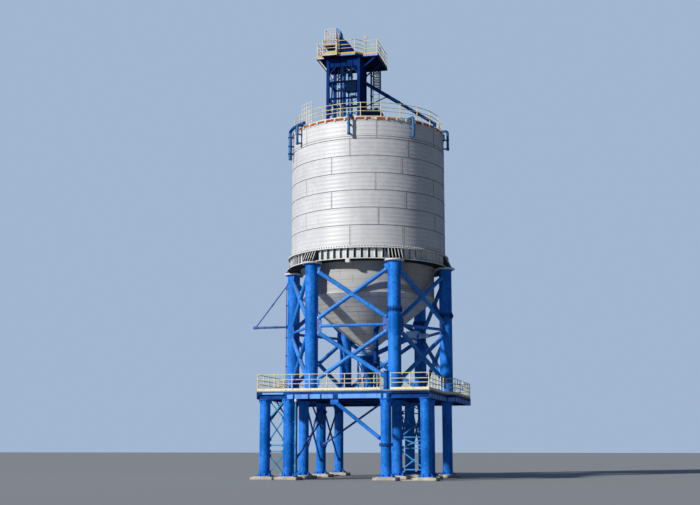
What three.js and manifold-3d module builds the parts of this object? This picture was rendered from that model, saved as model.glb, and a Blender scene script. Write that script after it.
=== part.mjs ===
// Cement silo: a round steel bin on six tubular legs, standing on a raised service deck,
// with a hopper and outlet below, and a bucket elevator tower and railed platforms above.
// Millimetres, +Z up. The yard side is -Y. Angles are in degrees, counter-clockwise from +X.

import * as THREE from 'three';
import { mergeVertices } from 'three/addons/utils/BufferGeometryUtils.js';
import Module from 'manifold-3d';

// Driving dimensions
const SEAT = 0.3; // running gap between pieces that rest on each other
const SHELL_RADIUS = 5000;
const SHELL_TOP = 21800;
const SHELL_FOOT = 13850;
const SHELL_THICKNESS = 80;
const RING_FOOT = 13100;
const LEG_CIRCLE = 5020;
const LEG_RADIUS = 400;
const DECK_TOP = 5100;
const FRAME_TOP = 5040;
const FRAME_FOOT = 4620;
const PAD_TOP = 180;
const COLUMN_RADIUS = 310;
const RAIL_HEIGHT = 980;
const CIRCLE_STEPS = 48;
const TOWER_DECK_TOP = 26500;

// Paints, as colour, roughness and metalness
const paint = (color, roughness, metalness) =>
  new THREE.MeshStandardMaterial({ color, roughness, metalness });
const blue = paint(0x1f6fd6, 0.42, 0.1);
const darkBlue = paint(0x123f96, 0.45, 0.1);
const lightBlue = paint(0x77b4e8, 0.45, 0.1);
const latticeBlue = paint(0x2c8fae, 0.5, 0.1);
const shellGrey = paint(0xd2d3d9, 0.5, 0.2);
const hopperGrey = paint(0x9c9c94, 0.6, 0.2);
const railYellow = paint(0xe9cf74, 0.5, 0.1);
const roofGrey = paint(0xa9aaa6, 0.6, 0.2);
const concrete = paint(0xc6bea8, 0.9, 0);
const plateGrey = paint(0x8f949a, 0.55, 0.5);

// Solids
const wasm = await Module();
wasm.setup();

// A closed three.js geometry as a solid that can be joined and cut
function solid(geometry) {
  const bare = geometry.clone();
  bare.deleteAttribute('normal');
  bare.deleteAttribute('uv');
  const merged = mergeVertices(bare, 1e-3);
  const vertProperties = new Float32Array(merged.attributes.position.array);
  const corners = merged.index.array;
  const triVerts = [];
  for (let i = 0; i < corners.length; i += 3) {
    const [a, b, c] = corners.subarray(i, i + 3);
    if (a !== b && b !== c && c !== a) triVerts.push(a, b, c);
  }
  const point = (i) => new THREE.Vector3().fromArray(vertProperties, 3 * i);
  let volume = 0;
  for (let i = 0; i < triVerts.length; i += 3) {
    const [a, b, c] = triVerts.slice(i, i + 3).map(point);
    volume += a.dot(b.cross(c));
  }
  if (volume < 0) triVerts.reverse();
  const mesh = new wasm.Mesh({ numProp: 3, vertProperties, triVerts: new Uint32Array(triVerts) });
  mesh.merge();
  return new wasm.Manifold(mesh);
}

const join = (pieces) => pieces.reduce((whole, piece) => whole.add(piece));
const cut = (body, tools) => tools.reduce((whole, tool) => whole.subtract(tool), body);

// A block, turned and moved by the matrix where one is given
function box(x0, x1, y0, y1, z0, z1, place) {
  const geometry = new THREE.BoxGeometry(x1 - x0, y1 - y0, z1 - z0);
  geometry.translate((x0 + x1) / 2, (y0 + y1) / 2, (z0 + z1) / 2);
  if (place) geometry.applyMatrix4(place);
  return solid(geometry);
}

// An upright cylinder at x, y, turned about its own line
function drum(x, y, radius, z0, z1, sides, turn = 0) {
  const geometry = new THREE.CylinderGeometry(radius, radius, z1 - z0, sides);
  geometry.rotateX(Math.PI / 2);
  geometry.rotateZ(turn);
  geometry.translate(x, y, (z0 + z1) / 2);
  return solid(geometry);
}

// A body of revolution about the upright line at x, y, from [radius, z] points
function turned(profile, x, y, steps) {
  const points = profile.map(([radius, z]) => new THREE.Vector2(radius, z));
  const geometry = new THREE.LatheGeometry(points, steps);
  geometry.rotateX(Math.PI / 2);
  geometry.translate(x, y, 0);
  return solid(geometry);
}

// A straight member from p to q: a round one of the given sides, or a flat-sided one
function placed(geometry, p, q) {
  const from = new THREE.Vector3(...p);
  const to = new THREE.Vector3(...q);
  const along = to.clone().sub(from).normalize();
  const level = new THREE.Vector3(0, 0, 1).cross(along);
  const side = level.lengthSq() > 1e-6 ? level.normalize() : new THREE.Vector3(1, 0, 0);
  const upper = along.clone().cross(side);
  const turn = new THREE.Matrix4().makeBasis(side, along, upper.negate());
  geometry.applyMatrix4(turn);
  const middle = from.add(to).multiplyScalar(0.5);
  geometry.translate(middle.x, middle.y, middle.z);
  return solid(geometry);
}

const distance = (p, q) => new THREE.Vector3(...p).distanceTo(new THREE.Vector3(...q));
const round = (p, q, radius, sides = 6, start = 0.25) =>
  placed(new THREE.CylinderGeometry(radius, radius, distance(p, q), sides, 1, false, start), p, q);
const bar = (p, q, width, height) =>
  placed(new THREE.BoxGeometry(width, distance(p, q), height), p, q);

// A flat outline of [x, y] points, raised from z0 to z1
function slab(outline, z0, z1) {
  const shape = new THREE.Shape(outline.map(([x, y]) => new THREE.Vector2(x, y)));
  const geometry = new THREE.ExtrudeGeometry(shape, { depth: z1 - z0, bevelEnabled: false });
  geometry.translate(0, 0, z0);
  return solid(geometry);
}

// An upright outline of [x, z] points, as thick as the stretch from y0 to y1
function upright(outline, y0, y1) {
  const shape = new THREE.Shape(outline.map(([x, z]) => new THREE.Vector2(x, z)));
  const geometry = new THREE.ExtrudeGeometry(shape, { depth: y1 - y0, bevelEnabled: false });
  geometry.rotateX(Math.PI / 2);
  geometry.translate(0, y1, 0);
  return solid(geometry);
}

const onCircle = (radius, degrees) => {
  const angle = THREE.MathUtils.degToRad(degrees);
  return [radius * Math.cos(angle), radius * Math.sin(angle)];
};

// A stretch of a ring between two angles
function arc(inner, outer, from, to, z0, z1) {
  const steps = Math.round(((to - from) * CIRCLE_STEPS) / 360);
  const trim = THREE.MathUtils.radToDeg(SEAT / 2 / inner);
  const outline = [];
  for (let i = 0; i <= steps; i++) {
    const step = from + ((to - from) * i) / steps;
    outline.push(Math.min(Math.max(step, from + trim), to - trim));
  }
  const near = outline.map((degrees) => onCircle(inner, degrees));
  const far = outline.map((degrees) => onCircle(outer, degrees));
  return slab([...far, ...near.reverse()], z0, z1);
}

const silo = new THREE.Group();

function add(name, body, material, place = { x: 0, y: 0, turn: 0 }) {
  const mesh = body.getMesh();
  const geometry = new THREE.BufferGeometry();
  const positions = new THREE.BufferAttribute(new Float32Array(mesh.vertProperties), 3);
  geometry.setAttribute('position', positions);
  geometry.setIndex(new THREE.BufferAttribute(new Uint32Array(mesh.triVerts), 1));
  geometry.computeVertexNormals();
  const part = new THREE.Mesh(geometry, material);
  part.name = name;
  part.position.set(place.x, place.y, 0);
  part.rotation.z = place.turn;
  silo.add(part);
}

// Columns below the deck stand on two lines that leave a lorry lane between them, in four
// rows. The outer ones carry the deck's corners and the two side legs.
const LEFT_LINE = -3130;
const RIGHT_LINE = 2640;
const ROWS = [-7150, -4000, 0, 4600];
const columns = {};
ROWS.forEach((y, i) => {
  columns[`column_left_${i + 1}`] = [LEFT_LINE, y];
  columns[`column_right_${i + 1}`] = [RIGHT_LINE, y];
});
columns.column_outer_left_front = [-4570, ROWS[0]];
columns.column_outer_left_mid = [-LEG_CIRCLE, ROWS[2]];
columns.column_outer_right_front = [4940, ROWS[0]];
columns.column_outer_right_second = [4600, ROWS[1]];
columns.column_outer_right_mid = [LEG_CIRCLE, ROWS[2]];

// Footings: a concrete pad under each column, tied by a low beam
const PAD_HALF = 670;
const TIE_HALF = 200;
const TIE_TOP = 60;

function footing(names, line) {
  const spots = names.map((name) => columns[name]);
  const pads = spots.map(([x, y]) =>
    box(x - PAD_HALF, x + PAD_HALF, y - PAD_HALF, y + PAD_HALF, 0, PAD_TOP));
  const ties = spots
    .filter(([x]) => x !== line)
    .map(([x, y]) => box(Math.min(x, line), Math.max(x, line), y - TIE_HALF, y + TIE_HALF, 0, TIE_TOP));
  const spine = box(line - TIE_HALF, line + TIE_HALF, ROWS[0], ROWS[3], 0, TIE_TOP);
  return join([spine, ...pads, ...ties]);
}

const onLeft = Object.keys(columns).filter((name) => name.includes('left'));
const onRight = Object.keys(columns).filter((name) => name.includes('right'));
add('footing_left', footing(onLeft, LEFT_LINE), concrete);
add('footing_right', footing(onRight, RIGHT_LINE), concrete);

// Column tubes with a flared foot and a cap plate; one has a bolted joint at mid height
const COLUMN_SIDES = 10;
const COLUMN_FOOT = PAD_TOP + SEAT;
const COLUMN_HEAD = FRAME_FOOT - SEAT;
const COLUMN_PLATE = { radius: 440, thick: 40, flare: 300 };
const COLUMN_CAP = { radius: 390, thick: 40 };
const COLUMN_JOINT = { radius: 400, level: 2000, half: 70 };

for (const [name, [x, y]] of Object.entries(columns)) {
  const tube = turned([
    [0, COLUMN_FOOT],
    [COLUMN_PLATE.radius, COLUMN_FOOT],
    [COLUMN_PLATE.radius, COLUMN_FOOT + COLUMN_PLATE.thick],
    [COLUMN_RADIUS, COLUMN_FOOT + COLUMN_PLATE.flare],
    [COLUMN_RADIUS, COLUMN_HEAD - COLUMN_CAP.thick],
    [COLUMN_CAP.radius, COLUMN_HEAD - COLUMN_CAP.thick],
    [COLUMN_CAP.radius, COLUMN_HEAD],
    [0, COLUMN_HEAD],
  ], x, y, COLUMN_SIDES);
  const flange = drum(x, y, COLUMN_JOINT.radius, COLUMN_JOINT.level - COLUMN_JOINT.half,
    COLUMN_JOINT.level + COLUMN_JOINT.half, COLUMN_SIDES);
  add(name, name === 'column_right_1' ? tube.add(flange) : tube, blue);
}

// The deck: welded girders under a chequer plate, wider where it carries the side legs
const DECK_LEFT = -5070;
const DECK_RIGHT = 5200;
const DECK_FRONT = -7300;
const DECK_BACK = 5600;
const DECK_STEP = -1100;
const DECK_WIDE = 5750;
const GIRDER = 260;
const OVERCUT = 10; // how far a cutting tool reaches past the face that it opens
const deckOutline = [
  [DECK_LEFT, DECK_FRONT],
  [DECK_RIGHT, DECK_FRONT],
  [DECK_RIGHT, DECK_STEP],
  [DECK_WIDE, DECK_STEP],
  [DECK_WIDE, DECK_BACK],
  [-DECK_WIDE, DECK_BACK],
  [-DECK_WIDE, DECK_STEP],
  [DECK_LEFT, DECK_STEP],
];

// The girder grid is the deck's outline with the cells between its girders cut out
const cellLines = (x0, x1) => [x0 + GIRDER / 2, LEFT_LINE, RIGHT_LINE, x1 - GIRDER / 2];
const cellRows = [
  [DECK_FRONT + GIRDER / 2, ROWS[1], cellLines(DECK_LEFT, DECK_RIGHT)],
  [ROWS[1], ROWS[2], cellLines(DECK_LEFT, DECK_RIGHT)],
  [ROWS[2], ROWS[3], cellLines(-DECK_WIDE, DECK_WIDE)],
  [ROWS[3], DECK_BACK - GIRDER / 2, cellLines(-DECK_WIDE, DECK_WIDE)],
];
const cells = cellRows.flatMap(([front, back, lines]) =>
  lines.slice(1).map((right, i) => box(lines[i] + GIRDER / 2, right - GIRDER / 2,
    front + GIRDER / 2, back - GIRDER / 2, FRAME_FOOT - OVERCUT, FRAME_TOP + OVERCUT)));
add('deck_frame', cut(slab(deckOutline, FRAME_FOOT, FRAME_TOP), cells), blue);
add('deck_plate', slab(deckOutline, FRAME_TOP + SEAT, DECK_TOP), plateGrey);

// Railings: each straight run is one panel of posts and rails, standing on its toe board or,
// on the roof, on its posts alone
const POST = 60;
const CORNER_POST = 80;
const CORNER_RISE = 5;
const RAIL = 44;
const PANEL = 50;
const TOE_HEIGHT = 165;
const RAIL_GAPS = [[0, 0.63], [0.675, 0.955]];

function panel(start, end, floor, bays, toe, height) {
  const length = Math.hypot(end[0] - start[0], end[1] - start[1]);
  const place = new THREE.Matrix4()
    .makeRotationZ(Math.atan2(end[1] - start[1], end[0] - start[0]))
    .setPosition(start[0], start[1], floor);
  const edge = POST / 2;
  const gaps = [];
  for (let k = 0; k < bays; k++) {
    const near = (length * k) / bays + edge;
    const far = (length * (k + 1)) / bays - edge;
    for (const [low, high] of RAIL_GAPS) {
      const foot = low > 0 ? height * low : toe || -PANEL;
      gaps.push(box(near, far, -PANEL, PANEL, foot, height * high, place));
    }
  }
  return cut(box(-edge, length + edge, -PANEL / 2, PANEL / 2, 0, height, place), gaps);
}

function railing(corners, floor, spacing, toe = TOE_HEIGHT, height = RAIL_HEIGHT) {
  const runs = corners.slice(1).map((end, i) => {
    const start = corners[i];
    const length = Math.hypot(end[0] - start[0], end[1] - start[1]);
    return panel(start, end, floor, Math.max(1, Math.round(length / spacing)), toe, height);
  });
  const half = CORNER_POST / 2;
  const cornerPosts = corners.slice(1, -1).map(([x, y]) =>
    box(x - half, x + half, y - half, y + half, floor, floor + height + CORNER_RISE));
  return join([...runs, ...cornerPosts]);
}

const RAIL_INSET = 50;
const RAIL_FLOOR = DECK_TOP + SEAT;
const BAY = { front: 1060, side: 1200, back: 1400 };
const railLeft = DECK_LEFT + RAIL_INSET;
const railRight = DECK_RIGHT - RAIL_INSET;
const railFront = DECK_FRONT + RAIL_INSET;
const railBack = DECK_BACK - RAIL_INSET;
const railWide = DECK_WIDE - RAIL_INSET;
const railStep = DECK_STEP + RAIL_INSET;
const STUB = { radius: 260, overhang: 60, head: 6200 };
const CORNER_GAP = (POST + CORNER_POST) / 2;
add('railing_front', railing([
  [railLeft, railFront],
  [RIGHT_LINE - STUB.radius - POST, railFront],
], RAIL_FLOOR, BAY.front), railYellow);
add('railing_right', railing([
  [RIGHT_LINE + STUB.radius + POST, railFront],
  [railRight, railFront],
  [railRight, railStep],
  [railWide, railStep],
  [railWide, railBack],
], RAIL_FLOOR, BAY.side), railYellow);
add('railing_back', railing([
  [railWide - CORNER_GAP - POST, railBack],
  [-railWide + CORNER_GAP + POST, railBack],
], RAIL_FLOOR, BAY.back), railYellow);
add('railing_left', railing([
  [railLeft, railFront + CORNER_GAP + POST],
  [railLeft, railStep],
  [-railWide, railStep],
  [-railWide, railBack],
], RAIL_FLOOR, BAY.side), railYellow);

// The short tube that stands through the deck edge over the second row of the lane
add('deck_edge_post', drum(RIGHT_LINE, railFront + STUB.radius - STUB.overhang, STUB.radius,
  DECK_TOP + SEAT, STUB.head, COLUMN_SIDES), blue);

// A tube's surface grown by the seat, for trimming members that butt against it
const grown = (radius, sides) => radius + SEAT / Math.cos(Math.PI / sides);
const columnTrim = (name) =>
  drum(...columns[name], grown(COLUMN_RADIUS, COLUMN_SIDES), PAD_TOP, FRAME_TOP, COLUMN_SIDES);

// Knee brace from the front girder down to the bolted joint of the lane's right column
const KNEE = { radius: 110, headX: -420, drop: 130, foot: 2080 };
const KNEE_PLATE = { left: 200, right: 260, half: 15, deep: 330 };
const kneeHead = [KNEE.headX, ROWS[0], FRAME_FOOT - KNEE.drop];
const kneeFoot = [RIGHT_LINE, ROWS[0], KNEE.foot];
const kneePlate = box(KNEE.headX - KNEE_PLATE.left, KNEE.headX + KNEE_PLATE.right,
  ROWS[0] - KNEE_PLATE.half, ROWS[0] + KNEE_PLATE.half, FRAME_FOOT - KNEE_PLATE.deep, FRAME_FOOT - SEAT);
const jointReach = COLUMN_JOINT.half + SEAT;
const jointTrim = drum(...columns.column_right_1, COLUMN_JOINT.radius + 2 * SEAT,
  COLUMN_JOINT.level - jointReach, COLUMN_JOINT.level + jointReach, COLUMN_SIDES);
add('knee_brace', cut(join([round(kneeHead, kneeFoot, KNEE.radius), kneePlate]), [
  columnTrim('column_right_1'),
  jointTrim,
]), blue);

// Lattice panels between paired columns: crossed flats between level bars, as pierced panels
const LATTICE_LEVELS = [570, 1730, 2420, 3750, 4500];
const LATTICE_BAR = 56;
const LATTICE_THICK = 40;
const LATTICE_EDGE = 40;
const LATTICE_LAP = 20; // how far the sheet runs into a column before it is trimmed

// The four gaps that two crossed bars leave in a rectangle
function crossGaps(u0, u1, z0, z1, width) {
  const slope = (z1 - z0) / (u1 - u0);
  const rise = (width / 2) * Math.sqrt(1 + slope * slope);
  const run = rise / slope;
  const [u, z] = [(u0 + u1) / 2, (z0 + z1) / 2];
  return [
    [[u0 + run, z0], [u1 - run, z0], [u, z - rise]],
    [[u1, z0 + rise], [u1, z1 - rise], [u + run, z]],
    [[u1 - run, z1], [u0 + run, z1], [u, z + rise]],
    [[u0, z1 - rise], [u0, z0 + rise], [u - run, z]],
  ];
}

function lattice(leftName, rightName) {
  const [x0, y] = columns[leftName];
  const [x1] = columns[rightName];
  const edge = COLUMN_RADIUS - LATTICE_LAP;
  const open = COLUMN_RADIUS + LATTICE_EDGE;
  const half = LATTICE_BAR / 2;
  const gaps = LATTICE_LEVELS.slice(1).flatMap((above, i) =>
    crossGaps(x0 + open, x1 - open, LATTICE_LEVELS[i] + half, above - half, LATTICE_BAR));
  const sheet = box(x0 + edge, x1 - edge, y - LATTICE_THICK / 2, y + LATTICE_THICK / 2,
    LATTICE_LEVELS[0] - half, LATTICE_LEVELS.at(-1) + half);
  return cut(sheet, [
    ...gaps.map((gap) => upright(gap, y - LATTICE_THICK, y + LATTICE_THICK)),
    columnTrim(leftName),
    columnTrim(rightName),
  ]);
}

add('lattice_left', lattice('column_outer_left_front', 'column_left_1'), latticeBlue);
add('lattice_right', lattice('column_right_2', 'column_outer_right_second'), latticeBlue);

// Silo legs: big tubes with a foot plate and a wide bearing cap; those on the right are in
// two lengths with a bolted joint
const LEG_SIDES = 14;
const LEG_FOOT = DECK_TOP + SEAT;
const LEG_HEAD = RING_FOOT - SEAT;
const LEG_PLATE = { radius: 520, thick: 40, flare: 260 };
const LEG_CAP = { radius: 620, thick: 100, slope: 30 };
const LEG_JOINT = { radius: 490, level: 10060, half: 50 };
const legAngles = {
  leg_front_left: -121,
  leg_front_right: -59,
  leg_side_right: 0,
  leg_back_right: 59,
  leg_back_left: 121,
  leg_side_left: 180,
};
const legSpots = Object.fromEntries(
  Object.entries(legAngles).map(([name, degrees]) => [name, onCircle(LEG_CIRCLE, degrees)]));

for (const [name, [x, y]] of Object.entries(legSpots)) {
  const tube = turned([
    [0, LEG_FOOT],
    [LEG_PLATE.radius, LEG_FOOT],
    [LEG_PLATE.radius, LEG_FOOT + LEG_PLATE.thick],
    [LEG_RADIUS, LEG_FOOT + LEG_PLATE.flare],
    [LEG_RADIUS, LEG_HEAD - LEG_CAP.thick - LEG_CAP.slope],
    [LEG_CAP.radius, LEG_HEAD - LEG_CAP.thick],
    [LEG_CAP.radius, LEG_HEAD],
    [0, LEG_HEAD],
  ], x, y, LEG_SIDES);
  const joint = drum(x, y, LEG_JOINT.radius, LEG_JOINT.level - LEG_JOINT.half,
    LEG_JOINT.level + LEG_JOINT.half, LEG_SIDES);
  add(name, name.endsWith('right') ? tube.add(joint) : tube, blue);
}

// A leg's surface grown by the seat, at x, y, for trimming members that butt against it
function legTrim(x, y, turn = 0) {
  return join([
    drum(x, y, grown(LEG_RADIUS, LEG_SIDES), DECK_TOP, LEG_HEAD, LEG_SIDES, turn),
    drum(x, y, grown(LEG_PLATE.radius, LEG_SIDES), DECK_TOP, LEG_FOOT + LEG_PLATE.flare + SEAT,
      LEG_SIDES, turn),
  ]);
}

// Bracing between neighbouring legs: two crossed pairs of tubes, a level strut between them
// and gusset plates, a little outside the line of the leg centres so as to clear the hopper
const BRACE_RADIUS = 132;
const STRUT_RADIUS = 92;
const BRACE_OUT = 140;
const UPPER_CROSS = [9300, 12800];
const LOWER_CROSS = [5640, 9050];
const STRUT_LEVEL = 9140;
const GUSSET = { reach: 680, foot: 8650, head: 9700, thick: 36 };

// One bay, drawn along X between two legs whose middle is the origin, its outer side at -Y
function bracing(span, turn) {
  const [p, q] = [-span / 2, span / 2];
  const at = (x, z) => [x, -BRACE_OUT, z];
  const pieces = [round(at(p, STRUT_LEVEL), at(q, STRUT_LEVEL), STRUT_RADIUS)];
  for (const [low, high] of [UPPER_CROSS, LOWER_CROSS]) {
    pieces.push(round(at(p, low), at(q, high), BRACE_RADIUS));
    pieces.push(round(at(p, high), at(q, low), BRACE_RADIUS));
  }
  for (const [x0, x1] of [[p, p + GUSSET.reach], [q - GUSSET.reach, q]]) {
    pieces.push(box(x0, x1, -BRACE_OUT - GUSSET.thick / 2, -BRACE_OUT + GUSSET.thick / 2,
      GUSSET.foot, GUSSET.head));
  }
  return cut(join(pieces), [legTrim(p, 0, -turn), legTrim(q, 0, -turn)]);
}

const legOrder = Object.values(legSpots);
const bracingNames = ['front', 'front_right', 'back_right', 'back', 'back_left', 'front_left'];
bracingNames.forEach((place, i) => {
  const [x0, y0] = legOrder[i];
  const [x1, y1] = legOrder[(i + 1) % legOrder.length];
  const turn = Math.atan2(y1 - y0, x1 - x0);
  add(`bracing_${place}`, bracing(Math.hypot(x1 - x0, y1 - y0), turn), blue,
    { x: (x0 + x1) / 2, y: (y0 + y1) / 2, turn });
});

// Outrigger on the left side leg: a level boom held by a sloping tie, with a sheave at its tip
const BOOM = { level: 9620, tip: -7700, radius: 75 };
const TIE = { level: 12420, radius: 60 };
const SHEAVE = { radius: 95, half: 90, sides: 8 };
const [sideLegX] = legSpots.leg_side_left;
const boomTip = [BOOM.tip, 0, BOOM.level];
add('outrigger_boom', cut(join([
  round([sideLegX, 0, BOOM.level], boomTip, BOOM.radius),
  round([sideLegX, 0, TIE.level], boomTip, TIE.radius),
  drum(BOOM.tip, 0, SHEAVE.radius, BOOM.level - SHEAVE.half, BOOM.level + SHEAVE.half, SHEAVE.sides),
]), [legTrim(...legSpots.leg_side_left)]), darkBlue);

// Ring girder in two halves: a web between an upper and a lower flange
const WEB = [4870, 4950];
const FLANGE_INNER = 4300;
const FLANGE_OUT = 5200;
const FLANGE_THICK = 60;
const WEB_LAP = 20; // how far the web runs into each flange
const RING_HEAD = SHELL_FOOT - SEAT;
for (const [name, from] of [['ring_girder_front', 180], ['ring_girder_back', 0]]) {
  const to = from + 180;
  add(name, join([
    arc(FLANGE_INNER, FLANGE_OUT, from, to, RING_FOOT, RING_FOOT + FLANGE_THICK),
    arc(WEB[0], WEB[1], from, to, RING_FOOT + WEB_LAP, RING_HEAD - WEB_LAP),
    arc(WEB[0], FLANGE_OUT, from, to, RING_HEAD - FLANGE_THICK, RING_HEAD),
  ]), shellGrey);
}

// Hopper: a short round skirt with a lip, a cone and a bolted outlet flange
const HOPPER_RADIUS = 4250;
const HOPPER_WALL = 60;
const HOPPER_STEPS = 28;
const HOPPER_LIP = { out: 120, thick: 30 };
const HOPPER_HEAD = RING_FOOT - SEAT;
const CONE_HEAD = 11200;
const CONE_FOOT = 8100;
const OUTLET_RADIUS = 450;
const OUTLET_FLANGE = { out: 90, thick: 60 };
add('hopper', turned([
  [HOPPER_RADIUS, CONE_HEAD],
  [HOPPER_RADIUS, HOPPER_HEAD - HOPPER_LIP.thick],
  [HOPPER_RADIUS + HOPPER_LIP.out, HOPPER_HEAD - HOPPER_LIP.thick],
  [HOPPER_RADIUS + HOPPER_LIP.out, HOPPER_HEAD],
  [HOPPER_RADIUS - HOPPER_WALL, HOPPER_HEAD],
  [HOPPER_RADIUS - HOPPER_WALL, CONE_HEAD],
  [OUTLET_RADIUS - HOPPER_WALL, CONE_FOOT],
  [OUTLET_RADIUS - HOPPER_WALL, CONE_FOOT - OUTLET_FLANGE.thick],
  [OUTLET_RADIUS + OUTLET_FLANGE.out, CONE_FOOT - OUTLET_FLANGE.thick],
  [OUTLET_RADIUS + OUTLET_FLANGE.out, CONE_FOOT],
  [OUTLET_RADIUS, CONE_FOOT],
  [HOPPER_RADIUS, CONE_HEAD],
], 0, 0, HOPPER_STEPS), hopperGrey);

// Outlet gate: a square slide gate box under the outlet flange
const GATE_HEAD = CONE_FOOT - OUTLET_FLANGE.thick - SEAT;
const GATE_FOOT = 7600;
const GATE_HALF = 480;
const SLIDE = { left: -760, right: 300, half: 300, inset: 140 };
add('outlet_gate', join([
  box(-GATE_HALF, GATE_HALF, -GATE_HALF, GATE_HALF, GATE_FOOT, GATE_HEAD),
  box(SLIDE.left, SLIDE.right, -SLIDE.half, SLIDE.half, GATE_FOOT + SLIDE.inset, GATE_HEAD - SLIDE.inset),
]), lightBlue);

// Discharge chute: a stand with four posts, and the spout that passes through its head frame
const STAND_HALF = 560;
const STAND_POST = 120;
const STAND_BEAM = 270;
const STAND_HEAD = GATE_FOOT - SEAT;
const STAND_FOOT = DECK_TOP + SEAT;
const SPOUT = { outlet: 300, inlet: 430, straight: 6500, neck: 7250, steps: 16 };
const standCorners = [[-1, -1], [1, -1], [1, 1], [-1, 1]];
const standPosts = standCorners.map(([sx, sy]) => {
  const [x, y] = [sx * STAND_HALF, sy * STAND_HALF];
  const half = STAND_POST / 2;
  return box(x - half, x + half, y - half, y + half, STAND_FOOT, STAND_HEAD);
});
const standReach = STAND_HALF + STAND_POST / 2;
const spout = turned([
  [0, STAND_FOOT],
  [SPOUT.outlet, STAND_FOOT],
  [SPOUT.outlet, SPOUT.straight],
  [SPOUT.inlet, SPOUT.neck],
  [SPOUT.inlet, STAND_HEAD],
  [0, STAND_HEAD],
], 0, 0, SPOUT.steps);
add('discharge_chute', join([
  spout,
  ...standPosts,
  box(-standReach, standReach, -standReach, standReach, STAND_HEAD - STAND_BEAM, STAND_HEAD),
]), blue);

// Feeder: an inclined tube from the gate to a drive box with its motor
const FEEDER = { radius: 165, sides: 10, foot: [300, 100, 7700], head: [2650, 500, 8760] };
const DRIVE = { left: 2400, right: 3250, front: 60, back: 940, foot: 8440, head: 9120 };
const MOTOR = { radius: 190, from: [3200, 500, 8800], to: [3820, 500, 8800] };
add('discharge_feeder', cut(join([
  round(FEEDER.foot, FEEDER.head, FEEDER.radius, FEEDER.sides),
  box(DRIVE.left, DRIVE.right, DRIVE.front, DRIVE.back, DRIVE.foot, DRIVE.head),
  round(MOTOR.from, MOTOR.to, MOTOR.radius, FEEDER.sides),
]), [box(-GATE_HALF, GATE_HALF + SEAT, -GATE_HALF, GATE_HALF, DECK_TOP, CONE_FOOT)]), lightBlue);

// Shell: four curved wall segments, full height
const quarters = { front_left: 180, front_right: 270, back_right: 0, back_left: 90 };
for (const [place, from] of Object.entries(quarters)) {
  add(`shell_${place}`, arc(SHELL_RADIUS - SHELL_THICKNESS, SHELL_RADIUS, from, from + 90,
    SHELL_FOOT, SHELL_TOP), shellGrey);
}

// Roof: a shallow cone with a kerb, and eight brackets that reach down over the shell
const ROOF_FOOT = SHELL_TOP + SEAT;
const ROOF_PEAK = 22450;
const ROOF_THICKNESS = 200;
const ROOF_EAVE = 4850;
const KERB = { inner: 4650, outer: 5080, top: 22050 };
const BRACKET = { width: 200, root: 4700, inner: 5230, outer: 5400, foot: 20850, rise: 190, lap: 40 };
const CLIPS = { levels: [20900, 21480], height: 120, outer: 5300 };
const roofCone = turned([
  [0, ROOF_PEAK - ROOF_THICKNESS],
  [ROOF_EAVE, ROOF_FOOT],
  [KERB.outer, ROOF_FOOT],
  [KERB.outer, KERB.top],
  [KERB.inner, KERB.top],
  [0, ROOF_PEAK],
], 0, 0, CIRCLE_STEPS);

function bracket(degrees) {
  const half = BRACKET.width / 2;
  const top = KERB.top + BRACKET.rise;
  const place = new THREE.Matrix4().makeRotationZ(THREE.MathUtils.degToRad(degrees));
  return join([
    box(BRACKET.root, BRACKET.outer, -half, half, KERB.top - BRACKET.lap, top, place),
    box(BRACKET.inner, BRACKET.outer, -half, half, BRACKET.foot, top, place),
    ...CLIPS.levels.map((level) =>
      box(SHELL_RADIUS + SEAT, CLIPS.outer, -half, half, level, level + CLIPS.height, place)),
  ]);
}

const bracketAngles = [0, 45, 90, 135, 180, 225, 270, 315];
add('roof', join([roofCone, ...bracketAngles.map(bracket)]), roofGrey);

// The roof's upper surface raised by the seat, for trimming what stands on it. Such pieces
// start from a level inside the roof.
const ROOF_INSIDE = 21900;
const roofTrim = turned([
  [0, SHELL_FOOT],
  [KERB.outer, SHELL_FOOT],
  [KERB.outer, KERB.top + SEAT],
  [KERB.inner, KERB.top + SEAT],
  [0, ROOF_PEAK + SEAT],
], 0, 0, CIRCLE_STEPS);

// Roof railing in two halves, straight between posts that stand on the kerb. A taller panel
// closes the front one at the left.
const ROOF_RAIL_RADIUS = 4850;
const ROOF_RAIL_BAYS = 24;
const TALL_PANEL = { from: 222.5, to: 236, height: 1500, bays: 2 };
const baySpan = 360 / ROOF_RAIL_BAYS;

function roofRailing(from) {
  const half = ROOF_RAIL_BAYS / 2;
  const rails = RAIL_GAPS.map(([, high]) => {
    const z = KERB.top + RAIL_HEIGHT * high;
    const outline = [];
    for (let k = 0; k < half; k++) {
      outline.push(onCircle(ROOF_RAIL_RADIUS + RAIL / 2, from + k * baySpan));
    }
    for (let k = half - 1; k >= 0; k--) {
      outline.push(onCircle(ROOF_RAIL_RADIUS - RAIL / 2, from + k * baySpan));
    }
    return slab(outline, z, z + RAIL);
  });
  const posts = [];
  for (let k = 0; k < half; k++) {
    const [x, y] = onCircle(ROOF_RAIL_RADIUS, from + k * baySpan);
    posts.push(box(x - POST / 2, x + POST / 2, y - POST / 2, y + POST / 2,
      KERB.top + SEAT, KERB.top + RAIL_HEIGHT));
  }
  return join([...rails, ...posts]);
}

const tallStart = onCircle(ROOF_RAIL_RADIUS, TALL_PANEL.from);
const tallEnd = onCircle(ROOF_RAIL_RADIUS, TALL_PANEL.to);
const tallPanel = panel(tallStart, tallEnd, KERB.top + SEAT, TALL_PANEL.bays, 0, TALL_PANEL.height);
add('roof_railing_front', join([roofRailing(180 + baySpan / 2), tallPanel]), railYellow);
add('roof_railing_back', roofRailing(baySpan / 2), railYellow);

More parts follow.
